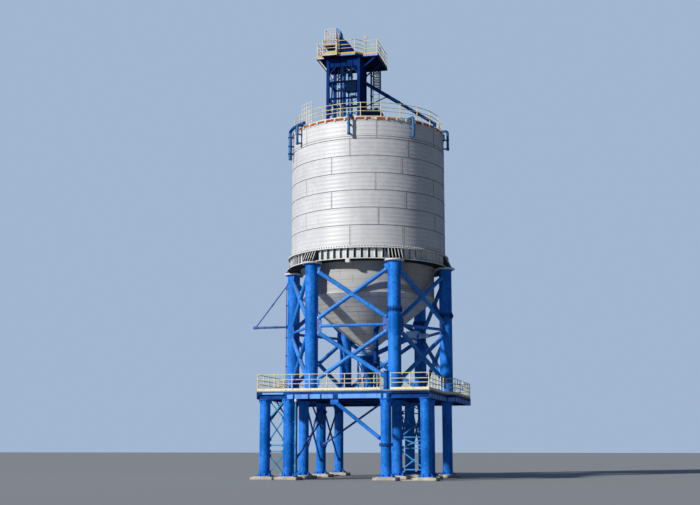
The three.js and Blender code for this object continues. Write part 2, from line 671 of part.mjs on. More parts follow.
// Elevator tower on the roof: four columns, cross beams, bracing, a clad right side and a deep
// band below its deck
const TOWER = { left: -1740, right: 270, front: -3750, back: -2000 };
const TOWER_POST = 190;
const TOWER_DECK_FOOT = TOWER_DECK_TOP - 150;
const TOWER_HEAD = TOWER_DECK_FOOT - SEAT;
const TOWER_BEAMS = [
  { level: 23680, height: 120, width: 90 },
  { level: 24780, height: 120, width: 90 },
  { level: 26050, height: 560, width: TOWER_POST },
];
const TOWER_ROD = { low: 24800, high: 25850, width: 70 };
const CLADDING = { foot: 22600, head: 25800, half: 20 };
const CABINET = { left: -560, right: 60, out: 30, deep: 420, foot: 24200, head: 24760 };
const towerPosts = [
  [TOWER.left, TOWER.front],
  [TOWER.right, TOWER.front],
  [TOWER.right, TOWER.back],
  [TOWER.left, TOWER.back],
];
const postHalf = TOWER_POST / 2;
const towerPieces = towerPosts.map(([x, y]) =>
  box(x - postHalf, x + postHalf, y - postHalf, y + postHalf, ROOF_INSIDE, TOWER_HEAD));
towerPosts.forEach((start, i) => {
  const end = towerPosts[(i + 1) % towerPosts.length];
  for (const { level, height, width } of TOWER_BEAMS) {
    towerPieces.push(bar([...start, level], [...end, level], width, height));
  }
  const { low, high, width: rod } = TOWER_ROD;
  towerPieces.push(bar([...start, low], [...end, high], rod, rod));
});
towerPieces.push(box(TOWER.right - CLADDING.half, TOWER.right + CLADDING.half, TOWER.front, TOWER.back,
  CLADDING.foot, CLADDING.head));
towerPieces.push(box(CABINET.left, CABINET.right, TOWER.front - CABINET.out, TOWER.front + CABINET.deep,
  CABINET.foot, CABINET.head));
add('tower_frame', cut(join(towerPieces), [roofTrim]), darkBlue);

// Bucket elevator casing: two trunks up to a hooded head that slopes down to the right
const TRUNK = { spans: [[-1150, -860], [-640, -350]], front: -3050, back: -2700 };
const LIFT_HEAD = { foot: 26900, front: -3220, back: -2520 };
const trunks = TRUNK.spans.map(([x0, x1]) =>
  box(x0, x1, TRUNK.front, TRUNK.back, ROOF_INSIDE, LIFT_HEAD.foot));
const hood = upright([
  [-1450, LIFT_HEAD.foot],
  [-280, LIFT_HEAD.foot],
  [-280, 27200],
  [-570, 27600],
  [-900, 27900],
  [-1120, 28600],
  [-1450, 28600],
], LIFT_HEAD.front, LIFT_HEAD.back);
add('elevator_casing', cut(join([...trunks, hood]), [roofTrim]), lightBlue);

// Tower deck: a stepped platform with wings, pierced by the trunks, with sloping wing brackets
const towerDeckOutline = [
  [-2500, -3760],
  [-1980, -3760],
  [-1980, -4350],
  [-1000, -4350],
  [-1000, -4100],
  [120, -4100],
  [540, -3650],
  [1480, -3650],
  [1480, -650],
  [-2500, -650],
];
const TRUNK_GAP = 30;
const WING_STRUT = { width: 80, lap: 20, foot: 25650, plate: 60, plateFoot: 25500 };
const trunkHole = box(TRUNK.spans[0][0] - TRUNK_GAP, TRUNK.spans[1][1] + TRUNK_GAP,
  TRUNK.front - TRUNK_GAP, TRUNK.back + TRUNK_GAP, TOWER_DECK_FOOT - OVERCUT, TOWER_DECK_TOP + OVERCUT);
const towerTrim = box(TOWER.left - postHalf - SEAT, TOWER.right + postHalf + SEAT,
  TOWER.front - postHalf - SEAT, TOWER.back + postHalf + SEAT, ROOF_PEAK, TOWER_DECK_FOOT);
const wingStruts = [
  { tip: -2380, root: TOWER.left - postHalf, y: -3700 },
  { tip: -2380, root: TOWER.left - postHalf, y: TOWER.back },
  { tip: 1300, root: TOWER.right + postHalf, y: -3500 },
  { tip: 1300, root: TOWER.right + postHalf, y: TOWER.back },
];
const strutBodies = wingStruts.map(({ tip, root, y }) => {
  const side = Math.sign(tip - root);
  const face = root + side * SEAT;
  const head = TOWER_DECK_FOOT + WING_STRUT.lap;
  const { plate } = WING_STRUT;
  return join([
    bar([tip, y, head], [root, y, WING_STRUT.foot], WING_STRUT.width, WING_STRUT.width),
    box(Math.min(face, face + side * plate), Math.max(face, face + side * plate),
      y - plate, y + plate, WING_STRUT.plateFoot, head),
  ]);
});
add('tower_deck', cut(join([
  slab(towerDeckOutline, TOWER_DECK_FOOT, TOWER_DECK_TOP),
  ...strutBodies,
]), [trunkHole, towerTrim]), darkBlue);

// Railing round the tower deck, just inside its edge and open at the back
const TOWER_RAIL_FLOOR = TOWER_DECK_TOP + SEAT;
const TOWER_RAIL_HEIGHT = 950;
const TOWER_RAIL_INSET = 40;
const insets = [[1, 1], [1, 1], [1, 1], [-1, 1], [-1, 1], [-0.4, 1], [-0.4, 1], [-1, 1]];
const towerRailLine = [
  [towerDeckOutline[0][0] + TOWER_RAIL_INSET, towerDeckOutline.at(-1)[1] - TOWER_RAIL_INSET],
  ...insets.map(([across, along], i) => [
    towerDeckOutline[i][0] + across * TOWER_RAIL_INSET,
    towerDeckOutline[i][1] + along * TOWER_RAIL_INSET,
  ]),
  [towerDeckOutline[8][0] - TOWER_RAIL_INSET, towerDeckOutline[8][1] - TOWER_RAIL_INSET],
];
add('tower_railing', railing(towerRailLine, TOWER_RAIL_FLOOR, RAIL_HEIGHT, TOE_HEIGHT, TOWER_RAIL_HEIGHT),
  railYellow);

// Head platform: a small railed stand on the deck's front bay, beside the elevator head
const STAND = { left: -1830, right: -1130, front: -4200, back: -3350, floor: 27050, top: 28200 };
const STAND_RAILS = [27450, 27800, STAND.top - RAIL / 2];
const STAND_PLATE = 60;
const headPosts = [
  [STAND.left, STAND.front],
  [STAND.right, STAND.front],
  [STAND.right, STAND.back],
  [STAND.left, STAND.back],
];
const headPieces = headPosts.map(([x, y]) =>
  box(x - POST / 2, x + POST / 2, y - POST / 2, y + POST / 2, TOWER_RAIL_FLOOR, STAND.top));
headPosts.forEach((start, i) => {
  const end = headPosts[(i + 1) % headPosts.length];
  for (const z of STAND_RAILS) {
    headPieces.push(bar([...start, z], [...end, z], RAIL, RAIL));
  }
});
headPieces.push(box(STAND.left, STAND.right, STAND.front, STAND.back,
  STAND.floor, STAND.floor + STAND_PLATE));
add('head_platform', join(headPieces), railYellow);

// Caged ladder from the roof to above the tower deck, behind its back edge
const LADDER = { x: 780, y: -600, half: 230, stringer: 50, front: 20, back: 30, head: 27500 };
const RUNGS = { from: 22700, below: 300, pitch: 600, gap: 560 };
const HOOPS = { levels: [24500, 25700, 26900], height: 50, inner: 0.94 };
const STRAPS = { line: 0.96, half: 22, lap: 20 };
const hoopLine = [[-260, 0], [-380, 330], [-180, 700], [180, 700], [380, 330], [260, 0]];
const rungGaps = [];
for (let z = RUNGS.from; z < LADDER.head - RUNGS.below; z += RUNGS.pitch) {
  rungGaps.push(box(LADDER.x - LADDER.half, LADDER.x + LADDER.half, LADDER.y - LADDER.stringer,
    LADDER.y + LADDER.stringer, z, z + RUNGS.gap));
}
const ladderReach = LADDER.half + LADDER.stringer;
const ladderFace = box(LADDER.x - ladderReach, LADDER.x + ladderReach, LADDER.y - LADDER.front,
  LADDER.y + LADDER.back, ROOF_INSIDE, LADDER.head);
const ladderPieces = [cut(ladderFace, rungGaps)];
const hoopAt = (scale) => hoopLine.map(([x, y]) => [LADDER.x + x * scale, LADDER.y + y * scale]);
const hoopOutline = [...hoopAt(1), ...hoopAt(HOOPS.inner).reverse()];
for (const z of HOOPS.levels) {
  ladderPieces.push(slab(hoopOutline, z, z + HOOPS.height));
}
const strapFoot = HOOPS.levels[0] - STRAPS.lap;
const strapHead = HOOPS.levels.at(-1) + HOOPS.height + STRAPS.lap;
hoopAt(STRAPS.line).slice(1, -1).forEach(([x, y]) =>
  ladderPieces.push(box(x - STRAPS.half, x + STRAPS.half, y - STRAPS.half, y + STRAPS.half,
    strapFoot, strapHead)));
add('tower_ladder', cut(join(ladderPieces), [roofTrim]), latticeBlue);

// Transfer chute from the tower down to the right edge of the roof: a wide upper length, a
// narrow lower one and a drop leg
const CHUTE = { upper: 260, lower: 130, share: 0.5 };
const DROP = { radius: 120, sides: 10, rise: 60 };
const chuteHead = new THREE.Vector3(TOWER.right, -2900, 25180);
const chuteFoot = new THREE.Vector3(4500, -250, 22640);
const chuteJoint = chuteHead.clone().lerp(chuteFoot, CHUTE.share);
add('transfer_chute', cut(join([
  bar(chuteHead.toArray(), chuteJoint.toArray(), CHUTE.upper, CHUTE.upper),
  bar(chuteHead.toArray(), chuteFoot.toArray(), CHUTE.lower, CHUTE.lower),
  drum(chuteFoot.x, chuteFoot.y, DROP.radius, ROOF_INSIDE, chuteFoot.z + DROP.rise, DROP.sides),
]), [roofTrim, towerTrim]), blue);

// The origin is below the middle of the whole, on the ground
const bounds = new THREE.Box3().setFromObject(silo);
const centre = bounds.getCenter(new THREE.Vector3());
silo.position.set(-centre.x, -centre.y, -bounds.min.z);
silo.updateMatrixWorld(true);

export default silo;
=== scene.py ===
import random
from math import atan2, ceil, cos, degrees, pi, radians, sin

import bmesh
import bpy
from mathutils import Matrix, Vector


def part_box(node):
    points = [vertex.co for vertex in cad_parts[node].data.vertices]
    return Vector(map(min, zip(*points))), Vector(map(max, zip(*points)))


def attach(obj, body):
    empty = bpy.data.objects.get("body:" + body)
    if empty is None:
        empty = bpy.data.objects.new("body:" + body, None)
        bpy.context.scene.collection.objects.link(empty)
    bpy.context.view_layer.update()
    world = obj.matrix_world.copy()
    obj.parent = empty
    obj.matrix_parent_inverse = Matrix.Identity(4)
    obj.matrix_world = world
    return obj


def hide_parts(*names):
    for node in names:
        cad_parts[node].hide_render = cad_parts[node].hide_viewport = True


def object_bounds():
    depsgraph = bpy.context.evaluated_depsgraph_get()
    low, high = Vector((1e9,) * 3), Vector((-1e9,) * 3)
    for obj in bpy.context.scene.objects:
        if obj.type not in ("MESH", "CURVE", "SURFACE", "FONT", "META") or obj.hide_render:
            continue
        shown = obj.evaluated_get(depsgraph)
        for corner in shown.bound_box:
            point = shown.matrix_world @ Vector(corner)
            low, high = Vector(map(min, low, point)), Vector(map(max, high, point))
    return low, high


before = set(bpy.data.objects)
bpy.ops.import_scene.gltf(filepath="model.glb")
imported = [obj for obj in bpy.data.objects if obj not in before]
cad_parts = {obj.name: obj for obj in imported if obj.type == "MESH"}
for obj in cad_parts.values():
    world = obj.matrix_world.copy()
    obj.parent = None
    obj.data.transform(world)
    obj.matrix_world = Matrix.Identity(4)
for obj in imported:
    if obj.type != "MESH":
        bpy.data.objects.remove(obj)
cad_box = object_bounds()


# Footings: cast concrete pads under every column, tied by low ground beams. The formwork
# eased their edges, and each pad carries a bed of grout for the column's base plate.
class Wire:
    """A socket of a material's nodes that can stand in a sum like a number."""

    def __init__(self, tree, socket=None):
        self.tree = tree
        self.socket = socket

    def node(self, kind, settings=None, sockets=None, out=0):
        """Any node: its settings are set first, then the values or links of its sockets."""
        made = self.tree.nodes.new("ShaderNode" + kind)
        for name, value in (settings or {}).items():
            setattr(made, name, value)
        for name, value in (sockets or {}).items():
            if isinstance(value, Wire):
                self.tree.links.new(value.socket, made.inputs[name])
            else:
                made.inputs[name].default_value = value
        return Wire(self.tree, made.outputs[out])

    def sum(self, operation, first, second=0.0):
        return self.node("Math", {"operation": operation}, {0: first, 1: second})

    def __add__(self, other):
        return self.sum("ADD", self, other)

    def __radd__(self, other):
        return self.sum("ADD", other, self)

    def __sub__(self, other):
        return self.sum("SUBTRACT", self, other)

    def __rsub__(self, other):
        return self.sum("SUBTRACT", other, self)

    def __mul__(self, other):
        return self.sum("MULTIPLY", self, other)

    def __rmul__(self, other):
        return self.sum("MULTIPLY", other, self)

    def __truediv__(self, other):
        return self.sum("DIVIDE", self, other)

    def __mod__(self, other):
        return self.sum("FLOORED_MODULO", self, other)

    def __abs__(self):
        return self.sum("ABSOLUTE", self)

    def floor(self):
        return self.sum("FLOOR", self)

    def rise(self, low, high):
        """0 below low and 1 above high, with a smooth step between them."""
        limits = {"Value": self, "From Min": low, "From Max": high}
        return self.node("MapRange", {"interpolation_type": "SMOOTHSTEP"}, limits)

    def mix(self, first, second):
        """The first colour where this is 0, and the second where it is 1."""
        first, second = [c if isinstance(c, Wire) else (*c, 1) for c in (first, second)]
        return self.node("Mix", {"data_type": "RGBA"}, {0: self, 6: first, 7: second}, out=2)

    def noise(self, size, detail=3.0, upright=1.0):
        """Cloudy noise with lumps about as wide as size, in metres, drawn out upright."""
        spread = [1.0 / size, 1.0 / size, upright / size]
        place = self.node("VectorMath", {"operation": "MULTIPLY"}, {0: self, 1: spread})
        return self.node("TexNoise", None, {"Vector": place, "Scale": 1.0, "Detail": detail})

    def axis(self, number):
        """X, Y or Z of a vector."""
        return self.node("SeparateXYZ", None, {0: self}, out=number)


def new_finish(name):
    """A material, and the wire that carries the place on the piece."""
    material = bpy.data.materials.new(name)
    material.use_nodes = True
    return material, Wire(material.node_tree).node("TexCoord", out="Object")


def close_finish(material, colour, roughness, height, depth, metallic=0.0, shine=0.5):
    """Feeds what varies over the surface to the material's own shader."""
    shader = material.node_tree.nodes["Principled BSDF"]
    bump = height.node("Bump", None, {"Strength": 1.0, "Distance": depth, "Height": height})
    for name, value in (("Base Color", colour), ("Roughness", roughness), ("Normal", bump)):
        material.node_tree.links.new(value.socket, shader.inputs[name])
    shader.inputs["Metallic"].default_value = metallic
    shader.inputs["Specular IOR Level"].default_value = shine
    return material


def cast_concrete():
    """Grey-beige concrete with blotches, pores, faint board marks and dirt near the ground."""
    material, place = new_finish("cast_concrete")
    blotches = place.noise(0.5, 4.0)
    grit = place.noise(0.012, 2.0)
    pores = place.noise(0.05, 1.0).rise(0.64, 0.72)
    soil = 1.0 - place.axis(2).rise(0.0, 0.12)
    colour = blotches.rise(0.35, 0.65).mix((0.42, 0.38, 0.31), (0.62, 0.58, 0.49))
    colour = (pores * 0.5).mix(colour, (0.2, 0.18, 0.15))
    colour = (soil * blotches).mix(colour, (0.3, 0.24, 0.17))
    height = grit * 0.4 + blotches * 0.4 - pores
    return close_finish(material, colour, 0.82 + grit * 0.15, height, 0.006)


low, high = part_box("hopper")
AXIS = Vector(((low.x + high.x) / 2, (low.y + high.y) / 2, 0))
UP = Vector((0, 0, 1))


def node_box(node):
    """The low and high corner of a CAD node, counted from the silo's axis like all below."""
    return [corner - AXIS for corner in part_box(node)]


def middle(node):
    low, high = node_box(node)
    return (low.x + high.x) / 2, (low.y + high.y) / 2


def turn_to(angle):
    """The turn about an upright line that brings +X round to the angle."""
    return Matrix.Rotation(radians(angle), 4, "Z")


class Shape:
    """The corners and faces of one piece, with the number of each face's finish. Corners are
    counted from an upright line at x, y, which is the silo's axis unless it is given."""

    def __init__(self, x=0.0, y=0.0):
        self.line = AXIS + Vector((x, y, 0))
        self.corners = []
        self.faces = []
        self.finishes = []

    def add(self, corners, faces, finish, place=None):
        start = len(self.corners)
        corners = [Vector(corner) for corner in corners]
        self.corners += [self.line + (place @ corner if place else corner) for corner in corners]
        self.faces += [[start + i for i in face] for face in faces]
        self.finishes += [finish] * len(faces)

    def block(self, low, high, edge=0.006, finish=0, place=None):
        """A block between two corners, with its edges eased."""
        low, high = [[pick(pair) for pair in zip(low, high)] for pick in (min, max)]
        edge = min(edge, 0.25 * min(b - a for a, b in zip(low, high)))
        corners = []
        for i in range(8):
            for full in range(3):
                ease = [0.0 if k == full else edge for k in range(3)]
                corners.append([high[k] - ease[k] if i >> k & 1 else low[k] + ease[k] for k in range(3)])
        faces = [[3 * i, 3 * i + 1, 3 * i + 2] for i in range(8)]
        for k in range(3):
            u, v = [other for other in range(3) if other != k]
            step, across, over = 1 << k, 1 << u, 1 << v
            for side in (0, step):
                ring = (side, side + across, side + across + over, side + over)
                faces.append([3 * i + k for i in ring])
            for i in (0, across, over, across + over):
                faces.append([3 * i + u, 3 * (i + step) + u, 3 * (i + step) + v, 3 * i + v])
        self.add(corners, faces, finish, place)

    def pad(self, half, low, high, edge=0.006, finish=0, at=(0, 0)):
        """A block between two heights that reaches half, or its two numbers, each way."""
        wide, deep = half if isinstance(half, tuple) else (half, half)
        x, y = at
        self.block((x - wide, y - deep, low), (x + wide, y + deep, high), edge, finish)

    def turned(self, profile, sides=32, finish=0, loop=False, span=(0.0, 360.0)):
        """A body of revolution about the shape's line, from (radius, height) points. A loop
        closes on itself, as the section of a ring does. Otherwise flat ends close it."""
        whole = span[1] - span[0] > 359.9
        rings = sides if whole else sides + 1
        angles = [radians(span[0] + (span[1] - span[0]) * i / sides) for i in range(rings)]
        corners = [(r * cos(angle), r * sin(angle), z) for angle in angles for r, z in profile]
        count = len(profile)
        faces = []
        for i in range(sides):
            near, far = i * count, (i + 1) % rings * count
            for j in range(count if loop else count - 1):
                k = (j + 1) % count
                faces.append([near + j, far + j, far + k, near + k])
        if not loop:
            faces += [[i * count + j for i in range(rings)] for j in (0, count - 1)]
        if not whole:
            faces += [[i * count + j for j in range(count)] for i in (0, rings - 1)]
        self.add(corners, faces, finish)

    def hoop(self, inner, outer, low, high, sides, finish=0, span=(0.0, 360.0)):
        """A ring, or a part of one, with an oblong section."""
        section = [(inner, low), (outer, low), (outer, high), (inner, high)]
        self.turned(section, sides, finish, True, span)

    def prism(self, near, far, finish=0, place=None):
        """A body between two outlines with as many corners each."""
        count = len(near)
        faces = [[i, (i + 1) % count, count + (i + 1) % count, count + i] for i in range(count)]
        faces += [list(range(count)), list(range(count, 2 * count))]
        self.add(near + far, faces, finish, place)

    def bar(self, start, end, outline, finish=0, up=UP):
        """A straight bar whose section is an outline of (across, up) points."""
        start, end = Vector(start), Vector(end)
        run = (end - start).normalized()
        side = run.cross(Vector(up)).normalized()
        top = side.cross(run)
        near, far = [[base + side * u + top * v for u, v in outline] for base in (start, end)]
        self.prism(near, far, finish)

    def tube(self, start, end, radius, sides=12, finish=0, last=None):
        """A round bar, narrowing to its last radius where one is given."""
        run = Vector(end) - Vector(start)
        place = Matrix.Translation(start) @ run.to_track_quat("Z", "Y").to_matrix().to_4x4()
        points = [(cos(2 * pi * i / sides), sin(2 * pi * i / sides)) for i in range(sides)]
        near = [(radius * c, radius * s, 0.0) for c, s in points]
        far = radius if last is None else last
        self.prism(near, [(far * c, far * s, run.length) for c, s in points], finish, place)

    def post(self, low, high, radius, sides=12, finish=0, at=(0, 0)):
        """An upright round bar between two heights."""
        self.tube((*at, low), (*at, high), radius, sides, finish)

    def pipe(self, route, radius, sides=12, finish=0):
        for start, end in zip(route, route[1:]):
            self.tube(start, end, radius, sides, finish)

    def fin(self, outline, thick, place=None, finish=0, y=0.0):
        """A flat plate from an outline of (x, z) points, standing on both sides of y."""
        near, far = [[(x, y + side, z) for x, z in outline] for side in (-thick / 2, thick / 2)]
        self.prism(near, far, finish, place)

    def fins(self, outline, thick, count, turn=0.0, finish=0):
        """As many of the same plate, all the way round the shape's line."""
        for k in range(count):
            self.fin(outline, thick, turn_to(360 / count * k + turn), finish)

    def bolt(self, at, out, size, finish=1, place=None):
        """A hexagon head on its washer, standing on a face that looks along out."""
        at, out = Vector(at), Vector(out).normalized()
        if place:
            at, out = place @ at, place.to_3x3() @ out
        self.tube(at, at + out * size * 0.25, size, 8, finish)
        self.tube(at + out * size * 0.25, at + out * size * 0.9, size * 0.8, 6, finish)

    def bolts(self, radius, z, count, size, side=1, turn=0.0):
        """A ring of bolts round the shape's line, on top of a flange or below it."""
        for k in range(count):
            angle = 2 * pi * k / count + turn
            self.bolt((radius * cos(angle), radius * sin(angle), z), (0, 0, side), size)

    def settle(self, name, finishes, slot, *nodes, crease=32.0):
        """Makes the mesh, its faces pointing out and smooth up to the crease. The piece rides
        with the fixed plant and stands for its nodes. Its slot is not used."""
        mesh = bpy.data.meshes.new(name)
        mesh.from_pydata(self.corners, [], self.faces)
        mesh.polygons.foreach_set("material_index", self.finishes)
        built = bmesh.new()
        built.from_mesh(mesh)
        bmesh.ops.recalc_face_normals(built, faces=built.faces)
        built.to_mesh(mesh)
        built.free()
        for finish in finishes:
            mesh.materials.append(finish)
        mesh.polygons.foreach_set("use_smooth", [True] * len(mesh.polygons))
        mesh.set_sharp_from_angle(angle=radians(crease))
        made = bpy.data.objects.new(name, mesh)
        bpy.context.scene.collection.objects.link(made)
        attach(made, "root")
        if nodes:
            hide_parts(*nodes)


column_spots = {name: middle(name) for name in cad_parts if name.startswith("column_")}
PAD_HALF = 0.67
TIE_HALF = 0.2
TIE_TOP = 0.06
GROUT_HALF = 0.49
pad_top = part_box("footing_left")[1].z
concrete = cast_concrete()
for side in ("left", "right"):
    shape = Shape()
    spots = [spot for name, spot in column_spots.items() if side in name]
    line = column_spots[f"column_{side}_1"][0]
    for x, y in spots:
        shape.pad(PAD_HALF, 0, pad_top, 0.03, at=(x, y))
        shape.pad(GROUT_HALF, pad_top - 0.01, pad_top + 0.025, 0.02, at=(x, y))
        if abs(x - line) > PAD_HALF:
            shape.block((x, y - TIE_HALF, 0), (line, y + TIE_HALF, TIE_TOP), 0.015)
    front, back = min(y for x, y in spots), max(y for x, y in spots)
    shape.block((line - TIE_HALF, front, 0), (line + TIE_HALF, back, TIE_TOP), 0.015)
    shape.settle(f"pads_{side}", [concrete], "concrete", f"footing_{side}")


# Deck columns: large steel tubes on ribbed base plates with anchor bolts, capped by a plate
# under the girders. The paint is a strong blue that has faded, dusted and chipped.
def painted_steel(name, fresh, faded, dust=0.35, gloss=0.36, chips=0.5, shine=0.3):
    """Two coats on steel: faded patches, rain streaks, dust on what faces up, rusty chips."""
    material, place = new_finish(name)
    patches = place.noise(1.6, 4.0)
    mottle = place.noise(0.18)
    grain = place.noise(0.01, 2.0)
    streaks = place.noise(0.16, 3.0, 0.07).rise(0.5, 0.78)
    upward = place.node("NewGeometry", out="Normal").axis(2).rise(0.25, 0.95)
    colour = (patches * 0.65 + mottle * 0.35).rise(0.4, 0.62).mix(fresh, faded)
    colour = (streaks * 0.32).mix(colour, [share * 0.35 for share in fresh])
    colour = (upward * dust * (0.5 + mottle)).mix(colour, (0.5, 0.44, 0.34))
    flakes = (place.noise(0.09, 5.0) + patches * 0.25).rise(0.80, 0.84)
    colour = (flakes * chips).mix(colour, (0.16, 0.055, 0.02))
    roughness = gloss + mottle * 0.2 + upward * 0.3 + flakes * 0.3
    height = grain * 0.15 + mottle * 0.5 - flakes * 0.4
    return close_finish(material, colour, roughness, height, 0.004, shine=shine)


blue_paint = painted_steel("blue_paint", (0.001, 0.125, 0.50), (0.024, 0.232, 0.84), 0.25, shine=0.12)
bolt_steel = painted_steel("bolt_steel", (0.010, 0.05, 0.2), (0.06, 0.10, 0.22), 0.3, 0.4, 0.9)
joint_paint = painted_steel("joint_paint", (0.0, 0.035, 0.18), (0.01, 0.08, 0.30), 0.3, 0.5, 0.8, 0.1)
COLUMN_RADIUS = 0.31
COLUMN_PLATE = 0.44
COLUMN_CAP = 0.39
COLUMN_JOINT = 2.0
for name, (x, y) in column_spots.items():
    foot, head = pad_top + 0.026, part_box(name)[1].z
    weld = (foot + head) / 2 + (0.5 if "outer" in name else 0.0)
    r, edge = COLUMN_RADIUS, COLUMN_PLATE - 0.01
    shape = Shape(x, y)
    shape.pad(COLUMN_PLATE, foot, foot + 0.035)
    shape.turned([(r, foot + 0.03), (r, weld - 0.016), (r + 0.007, weld - 0.011), (r + 0.007, weld + 0.011),
                  (r, weld + 0.016), (r, head - 0.04)], 40)
    shape.post(head - 0.035, head, COLUMN_CAP, 40)
    shape.fins([(r - 0.01, foot + 0.03), (edge, foot + 0.03), (edge, foot + 0.07), (r + 0.02, foot + 0.19),
                (r - 0.01, foot + 0.19)], 0.016, 8, 22.5)
    shape.fins([(r - 0.01, head - 0.035), (COLUMN_CAP - 0.01, head - 0.035), (r - 0.01, head - 0.3)],
               0.014, 8, 22.5)
    for across in (-0.385, 0, 0.385):
        for over in (-0.385, 0, 0.385):
            if across or over:
                shape.bolt((across, over, foot + 0.035), UP, 0.034)
    if name == "column_right_1":
        for side in (-1, 1):
            shape.post(COLUMN_JOINT + side * 0.006, COLUMN_JOINT + side * 0.07, 0.4, 40, 2)
            shape.bolts(0.355, COLUMN_JOINT + side * 0.07, 16, 0.03, side)
    shape.settle(f"{name}_tube", [blue_paint, bolt_steel, joint_paint], "blue_paint", name)


# Knee brace: a tube from the front girder down to the bolted joint of the lane's right
# column. Plates welded into its ends bolt to a gusset above and to a clip on the column.
def along(start, end, *steps):
    """Points on a run, so many metres from its start, or from its end for a step below 0."""
    start, end = Vector(start), Vector(end)
    run = (end - start).normalized()
    return [(end if step < 0 else start) + run * step for step in steps]


def flat(half, low, high):
    """The oblong section of a bar, half its width each way and from low to high."""
    return [(-half, low), (half, low), (half, high), (-half, high)]


KNEE_RADIUS = 0.11
KNEE_FOOT = 2.08
(left, _, _), (_, _, top) = node_box("knee_brace")
lane_right, row_front = column_spots["column_right_1"]
knee = (left + 0.2, row_front, top - 0.13), (lane_right, row_front, KNEE_FOOT)
shape = Shape()
shape.tube(*along(*knee, 0.3, -0.55), KNEE_RADIUS, 28)
for near, far in ((0.26, 0.3), (-0.55, -0.51)):
    shape.tube(*along(*knee, near, far), KNEE_RADIUS + 0.025, 28)
for near, far in ((0.02, 0.3), (-0.52, -0.33)):
    shape.bar(*along(*knee, near, far), flat(0.012, -0.09, 0.09))
shape.fin([(left, top - 0.33), (left + 0.46, top - 0.33), (left + 0.46, top), (left, top)], 0.02,
          y=row_front - 0.022)
for spot in along(*knee, 0.08, 0.2):
    shape.bolt(spot + Vector((0, -0.033, 0)), (0, -1, 0), 0.026)
shape.settle("knee_brace_tube", [blue_paint, bolt_steel], "blue_paint", "knee_brace")


# Lattice panels: pairs of front columns are laced together with crossed and level angle
# bars, bolted to small gussets. Their paint is an older, greener blue.
turquoise_paint = painted_steel("turquoise_paint", (0.010, 0.20, 0.42), (0.05, 0.42, 0.66), 0.2, 0.42)
lattice_blue = painted_steel("lattice_blue_paint", (0.02, 0.19, 0.46), (0.06, 0.36, 0.68), 0.3, 0.42)
LEG = 0.065
THICK = 0.009


def angle_bar(shape, start, end, flip=1):
    """A rolled angle: one leg flat in the panel, the other standing out of it."""
    outline = [(0, 0), (LEG, 0), (LEG, THICK), (THICK, THICK), (THICK, LEG), (0, LEG)]
    shape.bar(start, end, [(flip * u, v - LEG / 2) for u, v in outline])


for side, first, last, bars, crosses, paint in (
        ("left", "column_outer_left_front", "column_left_1", (1.63, 1.97),
         ((0.42, 1.4), (2.3, 3.45), (3.55, 4.5)), turquoise_paint),
        ("right", "column_right_2", "column_outer_right_second", (0.56, 1.8, 2.45, 3.83),
         ((0.6, 1.6), (1.86, 2.38), (2.54, 3.6), (3.92, 4.55)), lattice_blue)):
    (x0, y), (x1, _) = column_spots[first], column_spots[last]
    reach = (x1 - x0) / 2 - COLUMN_RADIUS
    shape = Shape((x0 + x1) / 2, y)
    for z in bars:
        angle_bar(shape, (-reach - 0.01, 0, z), (reach + 0.01, 0, z))
    for low, high in crosses:
        for flip, near, far in ((-1, low, high), (1, high, low)):
            angle_bar(shape, (-reach - 0.01, 0.012 * flip, near), (reach + 0.01, 0.012 * flip, far), flip)
        z = (low + high) / 2
        shape.pad((0.06, 0.008), z - 0.06, z + 0.06, 0.002)
        shape.bolt((0, -0.02, z), (0, -1, 0), 0.018)
    for z in [*bars, *sum(crosses, ())]:
        for out in (-1, 1):
            shape.block((out * (reach + 0.02), -0.006, z - 0.08), (out * (reach - 0.1), 0.006, z + 0.08),
                        0.002)
            for over in (-0.04, 0.04):
                shape.bolt((out * (reach - 0.06), -0.006, z + over), (0, -1, 0), 0.014)
    shape.settle(f"laced_panel_{side}", [paint, bolt_steel], "turquoise_paint", f"lattice_{side}")


# Row bracing: crossed tubes between the columns along each side of the lorry lane. They
# meet the columns on small tabs and keep the lane itself clear.
dark_blue_paint = painted_steel("dark_blue_paint", (0.0, 0.030, 0.17), (0.0, 0.075, 0.32), 0.2, 0.45,
                                0.5, 0.1)
ROW_BRACE_RADIUS = 0.06
ROW_BRACE_LOW = 1.1
ROW_BRACE_HIGH = 4.2
for side in ("left", "right"):
    x = column_spots[f"column_{side}_2"][0]
    rows = [column_spots[f"column_{side}_{k}"][1] for k in (1, 2, 3, 4)]
    shape = Shape(x, 0)
    for near, far in ((rows[1], rows[2]), (rows[2], rows[3])):
        near, far = near + COLUMN_RADIUS, far - COLUMN_RADIUS
        for x, low, high in ((-0.07, ROW_BRACE_LOW, ROW_BRACE_HIGH), (0.07, ROW_BRACE_HIGH, ROW_BRACE_LOW)):
            shape.tube((x, near + 0.14, low + 0.04), (x, far - 0.14, high - 0.04), ROW_BRACE_RADIUS, 14)
            for y, z, out in ((near, low, 1), (far, high, -1)):
                shape.block((x - 0.01, y - 0.03 * out, z - 0.11), (x + 0.01, y + 0.24 * out, z + 0.11),
                            0.002)
                shape.bolt((x + 0.01, y + 0.08 * out, z), (1, 0, 0), 0.018)
    shape.settle(f"row_bracing_{side}", [blue_paint, bolt_steel], "blue_paint")


